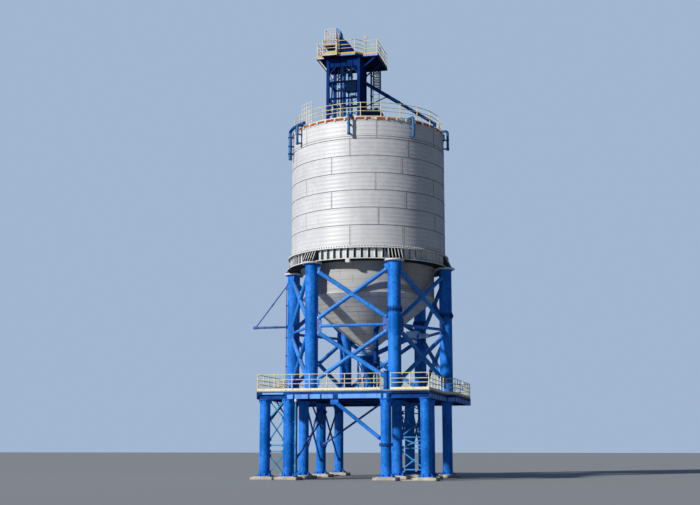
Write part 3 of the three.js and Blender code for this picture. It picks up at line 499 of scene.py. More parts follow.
# Riser and small braces: a turquoise pipe rises beside the lane's left column in clamped
# lengths. Slimmer tubes brace the left row, the outer bay and the third frame of the deck.
white_paint = painted_steel("clip_white", (0.70, 0.70, 0.69), (0.82, 0.81, 0.79), 0.1, 0.5)
deck_low, deck_high = node_box("deck_frame")
lane_left = column_spots["column_left_1"][0]
shape = Shape(lane_left + 0.45, row_front - 0.1)
shape.post(pad_top, deck_low.z - 0.1, 0.06, 16)
shape.post(deck_low.z - 0.14, deck_low.z, 0.085, 16, 2)
for z in (0.45, 1.15, 1.9, 2.35, 2.9, 3.55, 4.0):
    shape.post(z - 0.035, z + 0.035, 0.085, 16)
    shape.post(z - 0.006, z + 0.006, 0.1, 16, 1)
for z in (0.8, 2.1, 3.3):
    shape.block((-0.2, -0.02, z - 0.03), (0, 0.02, z + 0.03), 0.003, 1)
shape.settle("riser_pipe", [turquoise_paint, bolt_steel, white_paint], "turquoise_paint")

lane_x, frame_y = lane_left + 0.38, column_spots["column_left_3"][1] - 0.36
outer_x, inner_x = column_spots["column_outer_left_front"][0] + 0.3, lane_left - 0.28
row_y, under_deck = row_front + 0.12, deck_low.z
shape = Shape()
for start, end, radius, finish in (
        ((lane_x, -7.05, 1.11), (lane_x, -0.1, 4.1), 0.062, 0),
        ((lane_x - 0.3, -2.65, under_deck + 0.01), (lane_x - 0.3, -0.28, 3.07), 0.05, 2),
        ((outer_x, row_y, 3.46), (inner_x, row_y, 4.55), 0.085, 2),
        ((outer_x + 0.3, row_y + 0.13, 4.5), (inner_x + 0.09, row_y + 0.12, 3.55), 0.045, 2),
        ((lane_x - 0.1, frame_y, 2.05), (0.9, frame_y, under_deck - 0.02), 0.068, 0)):
    shape.tube(start, end, radius, 14 if radius < 0.06 else 16, finish)
for low, high in (
        ((lane_x - 0.12, -7.15, 1.02), (lane_x - 0.02, -6.95, 1.2)),
        ((lane_x - 0.12, -4.0, 2.376), (lane_x - 0.02, -3.8, 2.556)),
        ((lane_x - 0.12, -0.2, 4.01), (lane_x - 0.02, 0.0, 4.19)),
        ((outer_x + 0.25, row_y - 0.03, 4.44), (outer_x + 0.35, row_y + 0.17, under_deck)),
        ((lane_x - 0.34, frame_y - 0.02, 1.9), (lane_x - 0.06, frame_y + 0.1, 2.24)),
        ((0.78, frame_y - 0.03, under_deck - 0.12), (0.98, frame_y + 0.4, under_deck))):
    shape.block(low, high, 0.004, 2)
shape.settle("small_braces", [blue_paint, bolt_steel, dark_blue_paint], "blue_paint")


# Deck frame: a rim of channels with their open side out, stiffened every metre, and a grid
# of I-girders on the column lines that carry joists. All of it is welded and painted blue.
DECK_STEP = -1.1
NARROW = (-5.07, 5.2)
FLANGE = 0.095
FLANGE_THICK = 0.022
UPPER_DEEP = 0.155
SHALLOW = (-3.3, 2.83)
STIFFENER_STEP = 0.93
JOIST_STEP = 1.05
FRONT_RIBS = ((-3.27, 0.05), (-2.81, 0.05), (-1.895, 0.045), (-1.175, 0.045), (-0.31, 0.15), (2.44, 0.07),
              (2.76, 0.06))
rim_paint = painted_steel("deck_rim_paint", (0.12, 0.34, 0.84), (0.17, 0.42, 0.90), 0.08, 0.45, 0.2)
# Near-black navy that stands for shade on the right end of the front rim.
rim_painted_shade = painted_steel("rim_painted_shade_paint", (0.0, 0.010, 0.06), (0.0, 0.026, 0.12), 0.1, 0.5, 0.3, 0.05)
deck_corners = [(NARROW[0], deck_low.y), (NARROW[1], deck_low.y), (NARROW[1], DECK_STEP),
                (deck_high.x, DECK_STEP), (deck_high.x, deck_high.y), (deck_low.x, deck_high.y),
                (deck_low.x, DECK_STEP), (NARROW[0], DECK_STEP)]


def edges(corners):
    """Each corner of an outline with the next."""
    return list(zip(corners, corners[1:] + corners[:1]))


def edge_place(start, end):
    """The place at a corner whose +X runs to the next corner, and how far that is."""
    run = Vector(end) - Vector(start)
    return Matrix.Translation((*start, 0)) @ turn_to(degrees(atan2(run.y, run.x))), run.length


def i_section(half, web, flange, low, high):
    right = [(half, low), (half, low + flange), (web, low + flange), (web, high - flange),
             (half, high - flange), (half, high)]
    return right + [(-x, z) for x, z in reversed(right)]


z0, z1 = deck_low.z, deck_high.z
panel_top = z1 - UPPER_DEEP
shape = Shape()
# Painted shade: the dark blue of the top band, the bottom flange and the stiffeners against the light web
# panels stands for shade under the top flange and beside each stiffener. Towards the right end of the front
# rim the top band takes the near-black navy instead.
for i, (corner, other) in enumerate(edges(deck_corners)):
    place, length = edge_place(corner, other)
    begin, stop = [x - corner[0] for x in SHALLOW] if i == 0 else (0.0, length)
    painted_shade_from = stop + 0.15 if i == 0 else length
    for near, far, tone in ((0.0, painted_shade_from, 2), (painted_shade_from, length, 3)):
        if far > near:
            shape.block((near, 0, z1 - FLANGE_THICK), (far, FLANGE, z1), 0.003, tone, place)
            shape.block((near, 0.012, panel_top), (far, FLANGE, z1 - FLANGE_THICK), 0.003, tone, place)
    shape.block((begin, 0.022, z0 + 0.006), (stop, 0.034, panel_top), 0.002, 0, place)
    shape.block((begin, 0.014, z0), (stop, FLANGE, z0 + 0.014), 0.003, 2, place)
    steps = max(1, round(length / STIFFENER_STEP))
    ribs = [(length * k / steps, 0.05) for k in range(steps + 1)]
    if i == 0:
        shape.block((0.35, 0.002, z1 - 0.15), (begin - 0.12, 0.013, z1 - 0.05), 0.002, 0, place)
        shape.block((0.1, 0.2, z0), (begin, 0.22, panel_top), 0.002, 2, place)
        # A web set deep under the deck, in the near-black navy of painted shade.
        shape.block((stop, 0.62, z0), (length - 0.1, 0.64, panel_top), 0.002, 3, place)
        ribs = [(x - corner[0], half) for x, half in FRONT_RIBS]
    for x, half in ribs:
        shape.block((max(0.0, x - half), 0.008, z0 + 0.01), (min(length, x + half), 0.03, panel_top + 0.01),
                    0.003, 2, place)
    for x, half in ribs[1:-1:2]:
        for u in (0.24, 0.33, 0.42):
            for v in (0.08, 0.16, 0.24):
                shape.bolt((x + u, 0.022, z0 + v), (0, -1, 0), 0.015, 1, place)
shape.settle("deck_rim", [rim_paint, bolt_steel, dark_blue_paint, rim_painted_shade], "blue_paint", "deck_frame")

shape = Shape()
girder = i_section(0.11, 0.008, 0.022, 0, z1 - z0)
joist = [(u * 0.5, v * 0.4) for u, v in girder]
for side in ("left", "right"):
    x = column_spots[f"column_{side}_1"][0]
    shape.bar((x, deck_low.y + FLANGE, z0), (x, deck_high.y - FLANGE, z0), girder)
beams = [(y, z0, girder) for y in rows]
for front, back in zip(rows, rows[1:]):
    count = ceil((back - front) / JOIST_STEP - 0.001)
    beams += [(front + (back - front) * k / count, z1 - (z1 - z0) * 0.4, joist) for k in range(1, count)]
for y, z, section in beams:
    left, right = NARROW if y < DECK_STEP else (deck_low.x, deck_high.x)
    shape.bar((left + FLANGE, y, z), (right - FLANGE, y, z), section)
shape.settle("deck_girders", [dark_blue_paint], "blue_paint")


# Deck plate: chequer plate in sheets of about 1.5 m, worn bright where people walk. The
# lozenges are rolled in, 40 mm apart and turned alternately.
def chequer_plate():
    material, place = new_finish("chequer_plate")
    x, y = place.axis(0), place.axis(1)
    turn = ((x / 0.04).floor() + (y / 0.04).floor()) % 2.0
    u, v = abs((x / 0.04) % 1.0 - 0.5), abs((y / 0.04) % 1.0 - 0.5)
    long_side, short_side = turn * u + (1.0 - turn) * v, turn * v + (1.0 - turn) * u
    lozenge = 1.0 - (long_side + short_side * 3.2).rise(0.34, 0.46)
    seam_x, seam_y = abs((x / 1.5) % 1.0 - 0.5), abs((y / 3.0) % 1.0 - 0.5)
    seam = (1.0 - (0.5 - seam_x).rise(0.003, 0.006)) + (1.0 - (0.5 - seam_y).rise(0.0015, 0.003))
    worn = place.noise(1.3, 4.0)
    dust = place.noise(0.5, 5.0).rise(0.4, 0.65)
    colour = worn.rise(0.4, 0.62).mix((0.17, 0.19, 0.22), (0.33, 0.35, 0.37))
    colour = (dust * 0.6).mix(colour, (0.45, 0.41, 0.33))
    colour = seam.rise(0.2, 0.8).mix(colour, (0.06, 0.05, 0.04))
    return close_finish(material, colour, 0.45 + dust * 0.35, lozenge + worn * 0.3 - seam, 0.004, 0.4)


deck_steel = chequer_plate()
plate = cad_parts["deck_plate"]
plate.data.materials.clear()
plate.data.materials.append(deck_steel)


# Deck railing: tube posts on small flanges carry three rails, and a toe board runs along
# the foot. The yellow has bleached to cream, with rust at the welds.
def railing_paint():
    material, place = new_finish("railing_paint")
    patches = place.noise(0.9)
    mottle = place.noise(0.12)
    grain = place.noise(0.008, 2.0)
    rust = (place.noise(0.16, 5.0) + mottle * 0.2).rise(0.72, 0.78)
    colour = (patches * 0.6 + mottle * 0.4).rise(0.38, 0.62).mix((0.72, 0.57, 0.20), (0.86, 0.78, 0.46))
    colour = (rust * 0.8).mix(colour, (0.30, 0.11, 0.03))
    return close_finish(material, colour, 0.42 + mottle * 0.25, grain * 0.2 + mottle * 0.5 - rust, 0.002)


railing_yellow = railing_paint()
toe_cream = painted_steel("toe_board_cream", (0.86, 0.74, 0.42), (0.92, 0.84, 0.58), 0.15, 0.5, 0.8)
POST_RADIUS = 0.026
RAIL_RADIUS = 0.021
RAIL_SHARES = (0.41, 0.655, 0.965)
RAIL_INSET = 0.05
DECK_RAIL_HEIGHT = 0.98


def railing(shape, corners, floor, height, bay=1.06, toe=0.125):
    """Posts about a bay apart, three rails and a toe board, along a route on plan."""
    for leg, (start, end) in enumerate(zip(corners, corners[1:])):
        start, end = Vector((*start, floor)), Vector((*end, floor))
        bays = max(1, round((end - start).length / bay))
        for k in range(0 if leg == 0 else 1, bays + 1):
            at = start + (end - start) * k / bays
            shape.tube(at, at + UP * (height - 0.02), POST_RADIUS, 10)
            shape.tube(at, at + UP * 0.012, POST_RADIUS + 0.022, 10)
            shape.tube(at + UP * (height - 0.02), at + UP * height, POST_RADIUS, 10, 0, 0.012)
        for share in RAIL_SHARES:
            shape.tube(start + UP * height * share, end + UP * height * share, RAIL_RADIUS, 8)
        for aside in (-0.027, 0.027):
            board = [(aside + u, v) for u, v in flat(0.003, 0, toe)]
            shape.bar(start + UP * 0.008, end + UP * 0.008, board, 1)


deck_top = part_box("deck_plate")[1].z
stub_low, stub_high = node_box("deck_edge_post")
left, right = NARROW[0] + RAIL_INSET, NARROW[1] - RAIL_INSET
front, back = deck_low.y + RAIL_INSET, deck_high.y - RAIL_INSET
wide_left, wide_right = deck_low.x + RAIL_INSET, deck_high.x - RAIL_INSET
step = DECK_STEP + RAIL_INSET
for name, route in (
        ("front", [(left, front), (stub_low.x - 0.06, front)]),
        ("right", [(stub_high.x + 0.06, front), (right, front), (right, step), (wide_right, step),
                   (wide_right, back)]),
        ("back", [(wide_right - 0.12, back), (wide_left + 0.12, back)]),
        ("left", [(left, front + 0.12), (left, step), (wide_left, step), (wide_left, back)])):
    shape = Shape()
    railing(shape, route, deck_top, DECK_RAIL_HEIGHT)
    shape.settle(f"railing_{name}_tubes", [railing_yellow, toe_cream], "railing_paint", f"railing_{name}")


# Deck edge post: the stub of a tube that stands through the deck's front edge, closed by a
# bolted cover and held by six ribs.
stub_paint = painted_steel("stub_paint", (0.0, 0.05, 0.24), (0.006, 0.11, 0.42), 0.2, 0.42, 0.5, 0.1)
r, foot, head = (stub_high.x - stub_low.x) / 2 - 0.08, stub_low.z, stub_high.z
shape = Shape(*middle("deck_edge_post"))
shape.post(foot, head - 0.06, r - 0.02, 36)
shape.turned([(r, head - 0.06), (r, head - 0.02), (r - 0.03, head)], 36)
shape.post(foot, foot + 0.03, r, 36)
shape.fins([(r - 0.03, foot), (r - 0.002, foot), (r - 0.002, foot + 0.2), (r - 0.03, foot + 0.3)],
           0.012, 6, 30)
shape.bolts(r - 0.03, head - 0.02, 12, 0.016)
shape.settle("deck_edge_stub", [stub_paint, bolt_steel], "blue_paint", "deck_edge_post")


# Silo legs: tubes 0.8 m across on ribbed foot plates. The right-hand ones are bolted at mid
# height, the others welded. A ribbed head carries the pale bearing cap of the ring girder.
cap_paint = painted_steel("cap_paint", (0.60, 0.60, 0.58), (0.76, 0.76, 0.72), 0.2, 0.5, 0.9)
conduit_paint = painted_steel("conduit_paint", (0.02, 0.05, 0.16), (0.07, 0.12, 0.26), 0.3, 0.5)
leg_spots = {name: middle(name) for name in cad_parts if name.startswith("leg_")}
LEG_RADIUS = 0.4
LEG_JOINT = 10.06
JOINT_RADIUS = 0.49
JOINT_HALF = 0.05
CAP_RADIUS = 0.62
LEG_WELDS = (7.42, LEG_JOINT, 11.7)
for name, (x, y) in leg_spots.items():
    foot, head = [corner.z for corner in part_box(name)]
    r, rim, cap = LEG_RADIUS, JOINT_RADIUS, head - 0.1
    profile = [(r, foot + 0.03)]
    for z in LEG_WELDS:
        profile += [(r, z - 0.014), (r + 0.006, z - 0.01), (r + 0.006, z + 0.01), (r, z + 0.014)]
    shape = Shape(x, y)
    shape.turned(profile + [(r, cap)], 56)
    shape.turned([(0.52, foot), (0.52, foot + 0.035), (0.5, foot + 0.04)], 56)
    if "right" in name:
        for side in (-1, 1):
            z = LEG_JOINT + side * JOINT_HALF
            shape.post(LEG_JOINT + side * 0.003, z, rim, 56, 3)
            shape.bolts(0.448, z, 18, 0.036, side)
            shape.fins([(r - 0.01, z), (rim - 0.015, z), (rim - 0.02, z + side * 0.03),
                        (r + 0.005, z + side * 0.17), (r - 0.01, z + side * 0.17)], 0.014, 18, 10, 3)
    shape.bolts(0.475, foot + 0.035, 12, 0.028, turn=pi / 12)
    shape.fins([(r - 0.01, foot + 0.03), (0.5, foot + 0.03), (0.5, foot + 0.07), (r + 0.015, foot + 0.26),
                (r - 0.01, foot + 0.26)], 0.016, 12)
    shape.fins([(r - 0.01, cap), (CAP_RADIUS - 0.1, cap), (r - 0.01, head - 0.24)], 0.014, 12)
    shape.turned([(CAP_RADIUS - 0.03, cap), (CAP_RADIUS, cap + 0.03), (CAP_RADIUS, head - 0.008),
                  (CAP_RADIUS - 0.008, head)], 56, 2)
    shape.settle(f"{name}_tube", [blue_paint, bolt_steel, cap_paint, joint_paint], "blue_paint", name)

shape = Shape(*leg_spots["leg_side_left"])
place = turn_to(205)
shape.tube(place @ Vector((0.47, 0, deck_top + 0.05)), place @ Vector((0.47, 0, 12.3)), 0.028, 12)
for z in (5.9, 7.03, 7.73, 8.9, 11.0, 12.1):
    shape.block((0.39, -0.05, z - 0.03), (0.52, 0.05, z + 0.03), 0.004, 0, place)
shape.settle("leg_conduit", [conduit_paint], "blue_paint")


# Bracing: in each bay two crossed pairs of tubes and a strut, slotted over gusset plates
# that are welded to the legs. The tubes end in round caps close to the legs.
primer = painted_steel("gusset_primer", (0.05, 0.13, 0.42), (0.12, 0.20, 0.52), 0.3, 0.5, 1.0)
brace_paint = painted_steel("brace_paint", (0.004, 0.16, 0.58), (0.02, 0.26, 0.84), 0.15, 0.34, 0.5, 0.35)
brace_end = painted_steel("brace_end_paint", (0.26, 0.42, 0.66), (0.42, 0.56, 0.76), 0.2, 0.45, 0.8)
BRACE_RADIUS = 0.132
STRUT_RADIUS = 0.092
BRACE_OUT = 0.14
BRACE_GAP = 0.6
UPPER_CROSS = (9.3, 12.8)
LOWER_CROSS = (5.64, 9.05)
STRUT_LEVEL = 9.14
LEG_FACE = LEG_RADIUS * 0.92
GUSSET_FOOT = 8.65
GUSSET_HEAD = 9.7
LEG_RING = ["front_left", "front_right", "side_right", "back_right", "back_left", "side_left"]
BAYS = ["front", "front_right", "back_right", "back", "back_left", "front_left"]


def brace_tube(shape, start, end, radius):
    """A tube with domed ends, and a tongue at each end that reaches to the leg."""
    near, far = along(start, end, BRACE_GAP, -BRACE_GAP)
    side = (end - start).cross(UP).normalized()
    shape.tube(near, far, radius, 28)
    for root, leg in ((near, start), (far, end)):
        neck, nose, tip = along(root, leg, radius * 0.35, radius * 0.6, BRACE_GAP - LEG_FACE)
        shape.tube(root, neck, radius, 28, 3, radius * 0.85)
        shape.tube(neck, nose, radius * 0.85, 28, 0, radius * 0.5)
        shape.bar(root, tip, flat(0.014, -radius * 0.7, radius * 0.7))
        for share in (0.62, 0.9):
            for face in (side, -side):
                shape.bolt(root.lerp(tip, share) + face * 0.014, face, 0.024)


for bay, *ends in zip(BAYS, LEG_RING, LEG_RING[1:] + LEG_RING[:1]):
    near, far = [Vector((*leg_spots[f"leg_{name}"], 0)) for name in ends]
    out = (far - near).cross(UP).normalized()
    near, far = near + out * BRACE_OUT, far + out * BRACE_OUT
    shape = Shape()
    for low, high in (UPPER_CROSS, LOWER_CROSS):
        brace_tube(shape, near + UP * low, far + UP * high, BRACE_RADIUS)
        brace_tube(shape, near + UP * high, far + UP * low, BRACE_RADIUS)
        centre = (near + far) / 2 + UP * (low + high) / 2
        shape.tube(centre - out * 0.145, centre + out * 0.145, 0.15, 20)
    brace_tube(shape, near + UP * STRUT_LEVEL, far + UP * STRUT_LEVEL, STRUT_RADIUS)
    place, length = edge_place(near.xy, far.xy)
    for leg, side in ((0, 1), (length, -1)):
        root, neck, reach = [leg + side * share for share in (LEG_FACE, 0.52, 0.68)]
        shape.fin([(root, GUSSET_FOOT), (neck, GUSSET_FOOT), (reach, GUSSET_FOOT + 0.2),
                   (reach, GUSSET_HEAD - 0.2), (neck, GUSSET_HEAD), (root, GUSSET_HEAD)], 0.03, place, 2)
        for z in (LOWER_CROSS[0], UPPER_CROSS[1] - 0.1):
            shape.fin([(root, z - 0.2), (leg + side * 0.55, z - 0.1), (leg + side * 0.6, z + 0.12),
                       (root, z + 0.3)], 0.03, place)
        for u, z in ((0.5, 8.72), (0.5, 9.63), (0.62, 8.92), (0.62, 9.45), (0.5, 9.3), (0.5, 9.0)):
            for face in (-1, 1):
                shape.bolt((leg + side * u, face * 0.015, z), (0, face, 0), 0.022, 1, place)
    shape.settle(f"bracing_{bay}_tubes", [brace_paint, bolt_steel, primer, brace_end], "blue_paint",
                 f"bracing_{bay}")


# Outrigger: a level boom on the left side leg with a sloping tie rod and a sheave at its
# tip, used to lift parts to the deck.
outrigger_paint = painted_steel("outrigger_paint", (0.012, 0.07, 0.30), (0.04, 0.14, 0.46), 0.3, 0.42)
BOOM_LEVEL = 9.62
TIE_LEVEL = 12.42
BOOM_RADIUS = 0.075
x, y = leg_spots["leg_side_left"]
root, tip = Vector((-0.4, 0, BOOM_LEVEL)), Vector((node_box("outrigger_boom")[0].x + 0.1 - x, 0, BOOM_LEVEL))
tie = (-0.44, 0, TIE_LEVEL - 0.04), tip + Vector((0.12, 0, 0.06))
shape = Shape(x, y)
shape.tube((-0.38, 0, BOOM_LEVEL), tip, BOOM_RADIUS, 20)
shape.tube((-0.38, 0, BOOM_LEVEL), (-0.44, 0, BOOM_LEVEL), 0.14, 20)
for share in (0.35, 0.7):
    at = root.lerp(tip, share)
    shape.tube(at - Vector((0.02, 0, 0)), at + Vector((0.02, 0, 0)), BOOM_RADIUS + 0.018, 20)
shape.tube(*tie, 0.042, 12)
shape.tube(Vector(tie[0]).lerp(tie[1], 0.44), Vector(tie[0]).lerp(tie[1], 0.52), 0.058, 12)
shape.block((-0.48, -0.014, TIE_LEVEL - 0.17), (-0.385, 0.014, TIE_LEVEL + 0.12), 0.002)
for half, radius, sides in ((0.045, 0.09, 20), (0.06, 0.03, 12)):
    shape.tube(tip + Vector((0, -half, -0.02)), tip + Vector((0, half, -0.02)), radius, sides)
for y in (-0.055, 0.055):
    shape.block((tip.x - 0.06, y - 0.006, BOOM_LEVEL - 0.09), (tip.x + 0.2, y + 0.006, BOOM_LEVEL + 0.09),
                0.002)
shape.settle("outrigger", [outrigger_paint], "dark_blue_paint", "outrigger_boom")


# Ring girder: a web between two flanges, stiffened by thin radial ribs every five degrees.
# The top flange is bolted under the shell's foot, where short stubs hold the wall plate.
girder_paint = painted_steel("girder_paint", (0.56, 0.58, 0.60), (0.74, 0.75, 0.75), 0.2, 0.5, 0.8)
flange_paint = painted_steel("flange_paint", (0.68, 0.69, 0.69), (0.82, 0.82, 0.80), 0.1, 0.5, 0.6)
# Dark paint that stands for shade: on the web beside each rib where its shadow falls, across the web over
# each leg, and on the bearing gusset fins.
painted_shade_paint = painted_steel("girder_painted_shade", (0.030, 0.040, 0.060), (0.085, 0.10, 0.13),
                             0.1, 0.65, 0.9)
# Near black that stands for the shade under the ring's bottom flange.
painted_underside_shade = painted_steel("girder_underside_painted_shade", (0.008, 0.010, 0.014), (0.022, 0.024, 0.028),
                            0.05, 0.8, 0.9, 0.1)
nut_steel = painted_steel("nut_steel", (0.015, 0.018, 0.025), (0.05, 0.055, 0.07), 0.1, 0.6, 0.9)
WEB = 4.945
RING_OUT = 5.198
RIB_OUT = 5.05
SKIRT_IN = 4.3
FLANGE_DEEP = 0.06
RIB_STEP = 5.0
RIB_SHADOW_ARC = RIB_STEP * 0.36
LEG_ZONE = 5.6
ring_foot, ring_head = [corner.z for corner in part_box("ring_girder_front")]
leg_angles = [degrees(atan2(y, x)) % 360 for x, y in leg_spots.values()]
low, high = ring_foot + FLANGE_DEEP, ring_head - FLANGE_DEEP
inner, rim = WEB - 0.03, RING_OUT - 0.05


def near_leg(angle):
    return min(abs((angle - leg + 180) % 360 - 180) for leg in leg_angles)


for name, start in (("front", 180.0), ("back", 0.0)):
    span = (start, start + 180.0)
    shape = Shape()
    # The bottom flange takes the painted shade; only its outer lip is pale.
    shape.hoop(SKIRT_IN, rim, ring_foot, low - 0.002, 96, 5, span)
    shape.turned([(rim, ring_foot), (RING_OUT, ring_foot), (RING_OUT, low), (rim - 0.1, low)],
                 96, 5, True, span)
    shape.hoop(RING_OUT - 0.004, RING_OUT + 0.002, ring_foot + 0.012, low - 0.004, 96, 3, span)
    shape.hoop(inner - 0.04, RING_OUT, high, ring_head, 96, 3, span)
    for k in range(int(180 / RIB_STEP)):
        angle = start + RIB_STEP * (k + 0.5)
        first, last = angle - RIB_STEP / 2, angle + RIB_STEP / 2
        over_leg = near_leg(angle) <= LEG_ZONE
        if not over_leg:
            shape.block((WEB - 0.01, -0.012, low - 0.005), (RIB_OUT, 0.012, high + 0.005), 0.002, 3,
                        turn_to(angle))
        # Painted shade: the web takes the dark paint for an arc beside each rib, and all along the zone over
        # a leg.
        shade = 4 if over_leg else 0
        for a, b, finish in (
                (first, first + RIB_SHADOW_ARC, 4 if near_leg(first + RIB_SHADOW_ARC) < LEG_ZONE - 1 else 0),
                (first + RIB_SHADOW_ARC, angle, shade), (angle, angle + RIB_SHADOW_ARC, 4), (angle + RIB_SHADOW_ARC, last, shade)):
            shape.hoop(inner, WEB, low - 0.01, high + 0.01, 2, finish, (a, b))
    for k in range(90):
        place = turn_to(start + 2 * k + 1)
        shape.bolt((5.12, 0, ring_head), UP, 0.05, 2, place)
        shape.bolt((5.13, 0, high), -UP, 0.032, 2, place)
        shape.block((4.99, 0.05, ring_head), (5.03, 0.085, ring_head + 0.13), 0.004, 3, place)
    if name == "front":
        shape.block((RING_OUT - 0.3, -0.13, ring_foot - 0.2), (RING_OUT, 0.13, ring_foot + 0.002), 0.01, 0,
                    turn_to(270 - 1.2))
    shape.settle(f"ring_girder_{name}_plates",
                 [girder_paint, bolt_steel, nut_steel, flange_paint, painted_shade_paint, painted_underside_shade],
                 "shell_paint", f"ring_girder_{name}")


# Bearing gussets: over each leg a bundle of radial fins with pale edge bars stands on the
# cap. They are welded to the girder's web and spread the leg's load into the ring.
edge_paint = painted_steel("gusset_edge_paint", (0.66, 0.67, 0.66), (0.80, 0.80, 0.78), 0.1, 0.5, 0.5)
FIN_COUNT = 5
FIN_PITCH = 2.3
FIN_OUT = 5.44
fin_head = high - 0.002
# The fin plates take the dark paint that stands for the shade between them; their edge bars are pale.
shape = Shape()
for leg in leg_angles:
    for k in range(FIN_COUNT):
        place = turn_to(leg + FIN_PITCH * (k - (FIN_COUNT - 1) / 2))
        shape.fin([(RING_OUT + 0.002, ring_foot), (FIN_OUT, ring_foot), (FIN_OUT - 0.01, ring_foot + 0.09),
                   (RIB_OUT + 0.08, fin_head), (WEB + 0.001, fin_head), (WEB + 0.001, low + 0.001),
                   (RING_OUT + 0.002, low + 0.001)], 0.016, place, 1)
        foot = place @ Vector((FIN_OUT - 0.004, 0, ring_foot + 0.05))
        head = place @ Vector((RIB_OUT + 0.084, 0, fin_head))
        across = place @ Vector((0, 1, 0))
        shape.bar(foot, head, flat(0.02, -0.008, 0.008), up=across.cross(head - foot))
shape.settle("bearing_gussets", [edge_paint, painted_shade_paint], "shell_paint")


# Hopper: a short skirt and a cone of rolled plates with lapped seams, unpainted except for
# a dull coat. Cement dust has run down it and it ends in a bolted outlet flange.
def hopper_finish():
    material, place = new_finish("hopper_coat")
    x, y, z = place.axis(0) - AXIS.x, place.axis(1) - AXIS.y, place.axis(2)
    patches = place.noise(1.4, 5.0)
    mottle = place.noise(0.2, 4.0)
    grain = place.noise(0.012, 2.0)
    streaks = place.noise(0.22, 3.0, 0.08).rise(0.45, 0.75)
    course = (z - CONE_FOOT) / 0.52
    row = course.floor()
    plates = place.sum("ARCTAN2", y, x) * (8 / pi) + (row % 2.0) * 0.5
    seam = 1.0 - abs(course % 1.0 - 0.5).rise(0.0, 0.03)
    joint = 1.0 - abs(plates % 1.0 - 0.5).rise(0.0, 0.012)
    tint = place.node("CombineXYZ", None, {0: (plates + 0.5).floor(), 1: row})
    tint = place.node("TexWhiteNoise", {"noise_dimensions": "2D"}, {"Vector": tint})
    colour = patches.rise(0.36, 0.64).mix((0.54, 0.535, 0.52), (0.70, 0.69, 0.665))
    colour = (tint * 0.4).mix(colour, (0.78, 0.77, 0.74))
    colour = (streaks * 0.35).mix(colour, (0.66, 0.64, 0.59))
    # Painted shade: the skirt above the cone is mixed towards dark grey.
    colour = (z.rise(11.1, 11.35) * 0.55).mix(colour, (0.22, 0.225, 0.24))
    colour = ((seam + joint) * 0.8).mix(colour, (0.13, 0.125, 0.12))
    height = mottle * 0.5 + grain * 0.15 + (seam + joint) * 0.7
    return close_finish(material, colour, 0.68 + mottle * 0.2, height, 0.008)


SKIRT_RADIUS = 4.25
HOPPER_WALL = 0.05
CONE_HEAD = 11.2
CONE_FOOT = 8.1
OUTLET = 0.45
COURSES = 6
hopper_coat = hopper_finish()
r, foot, head, top = SKIRT_RADIUS, CONE_FOOT, CONE_HEAD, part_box("hopper")[1].z
outside = [(OUTLET + 0.09, foot - 0.06), (OUTLET + 0.09, foot), (OUTLET, foot)]
for share in [k / COURSES for k in range(1, COURSES)]:
    x, z = OUTLET + (r - OUTLET) * share, foot + (head - foot) * share
    outside += [(x, z), (x + 0.012, z - 0.004)]
outside += [(r, head - 0.03), (r + 0.03, head), (r + 0.03, head + 0.05), (r, head + 0.06), (r, top - 0.06),
            (r + 0.12, top - 0.04), (r + 0.12, top)]
inner, spout = r - HOPPER_WALL, OUTLET - HOPPER_WALL
inside = [(inner, top), (inner, head), (spout, foot), (spout, foot - 0.06)]
shape = Shape()
shape.turned(outside + inside, 96, 0, True)
shape.bolts(OUTLET + 0.06, foot, 20, 0.018)
shape.settle("hopper_plates", [hopper_coat, bolt_steel], "hopper_steel", "hopper", crease=40)


# Outlet gate: a bolted slide-gate box under the hopper, with its slide housing, a handwheel
# spindle and lifting lugs.
light_blue_paint = painted_steel("light_blue_paint", (0.16, 0.36, 0.72), (0.32, 0.52, 0.84), 0.3, 0.42)
GATE_HALF = 0.48
(x, _, z0), (_, _, z1) = node_box("outlet_gate")
z, row = (z0 + z1) / 2, GATE_HALF - 0.025
shape = Shape()
shape.pad(GATE_HALF - 0.05, z0 + 0.03, z1 - 0.03, 0.012)
for low, high in ((z0, z0 + 0.03), (z1 - 0.03, z1), (z - 0.05, z + 0.05)):
    shape.pad(GATE_HALF, low, high, 0.005)
shape.block((x + 0.16, -0.28, z - 0.035), (-GATE_HALF, 0.28, z + 0.035), 0.008)
shape.tube((x, 0, z), (x + 0.17, 0, z), 0.05, 16)
for step in range(-3, 4):
    for side in (-row, row):
        for level in (z + 0.05, z0 + 0.03):
            shape.bolt((0.13 * step, side, level), UP, 0.014)
            shape.bolt((side, 0.13 * step, level), UP, 0.014)
shape.settle("slide_gate", [light_blue_paint, bolt_steel], "light_blue_paint", "outlet_gate")


# Discharge chute: a spout inside a stand of four posts. The stand is cross braced with flat
# bars, and the spout has flanged rings where its lengths are bolted together.
STAND = 0.56
STRAP_LOW = 5.25
STRAP_HIGH = 7.2
foot, head = [corner.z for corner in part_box("discharge_chute")]
r, strap = STAND + 0.06, flat(0.006, -0.035, 0.035)
shape = Shape()
for side in (-1, 1):
    for other in (-STAND, STAND):
        shape.pad(0.05, foot + 0.02, head - 0.1, 0.008, at=(side * STAND, other))
        shape.pad(0.06, foot, foot + 0.02, 0.003, at=(side * STAND, other))
    for low, high in ((head - 0.12, head), (head - 0.27, head - 0.24)):
        shape.block((-r, side * (r - 0.1), low), (r, side * r, high))
        shape.block((side * (r - 0.1), -r, low), (side * r, r, high))
    for low, high in ((STRAP_LOW, STRAP_HIGH), (STRAP_HIGH, STRAP_LOW)):
        shape.bar((-STAND, side * STAND, low), (STAND, side * STAND, high), strap)
        shape.bar((side * STAND, -STAND, low), (side * STAND, STAND, high), strap)
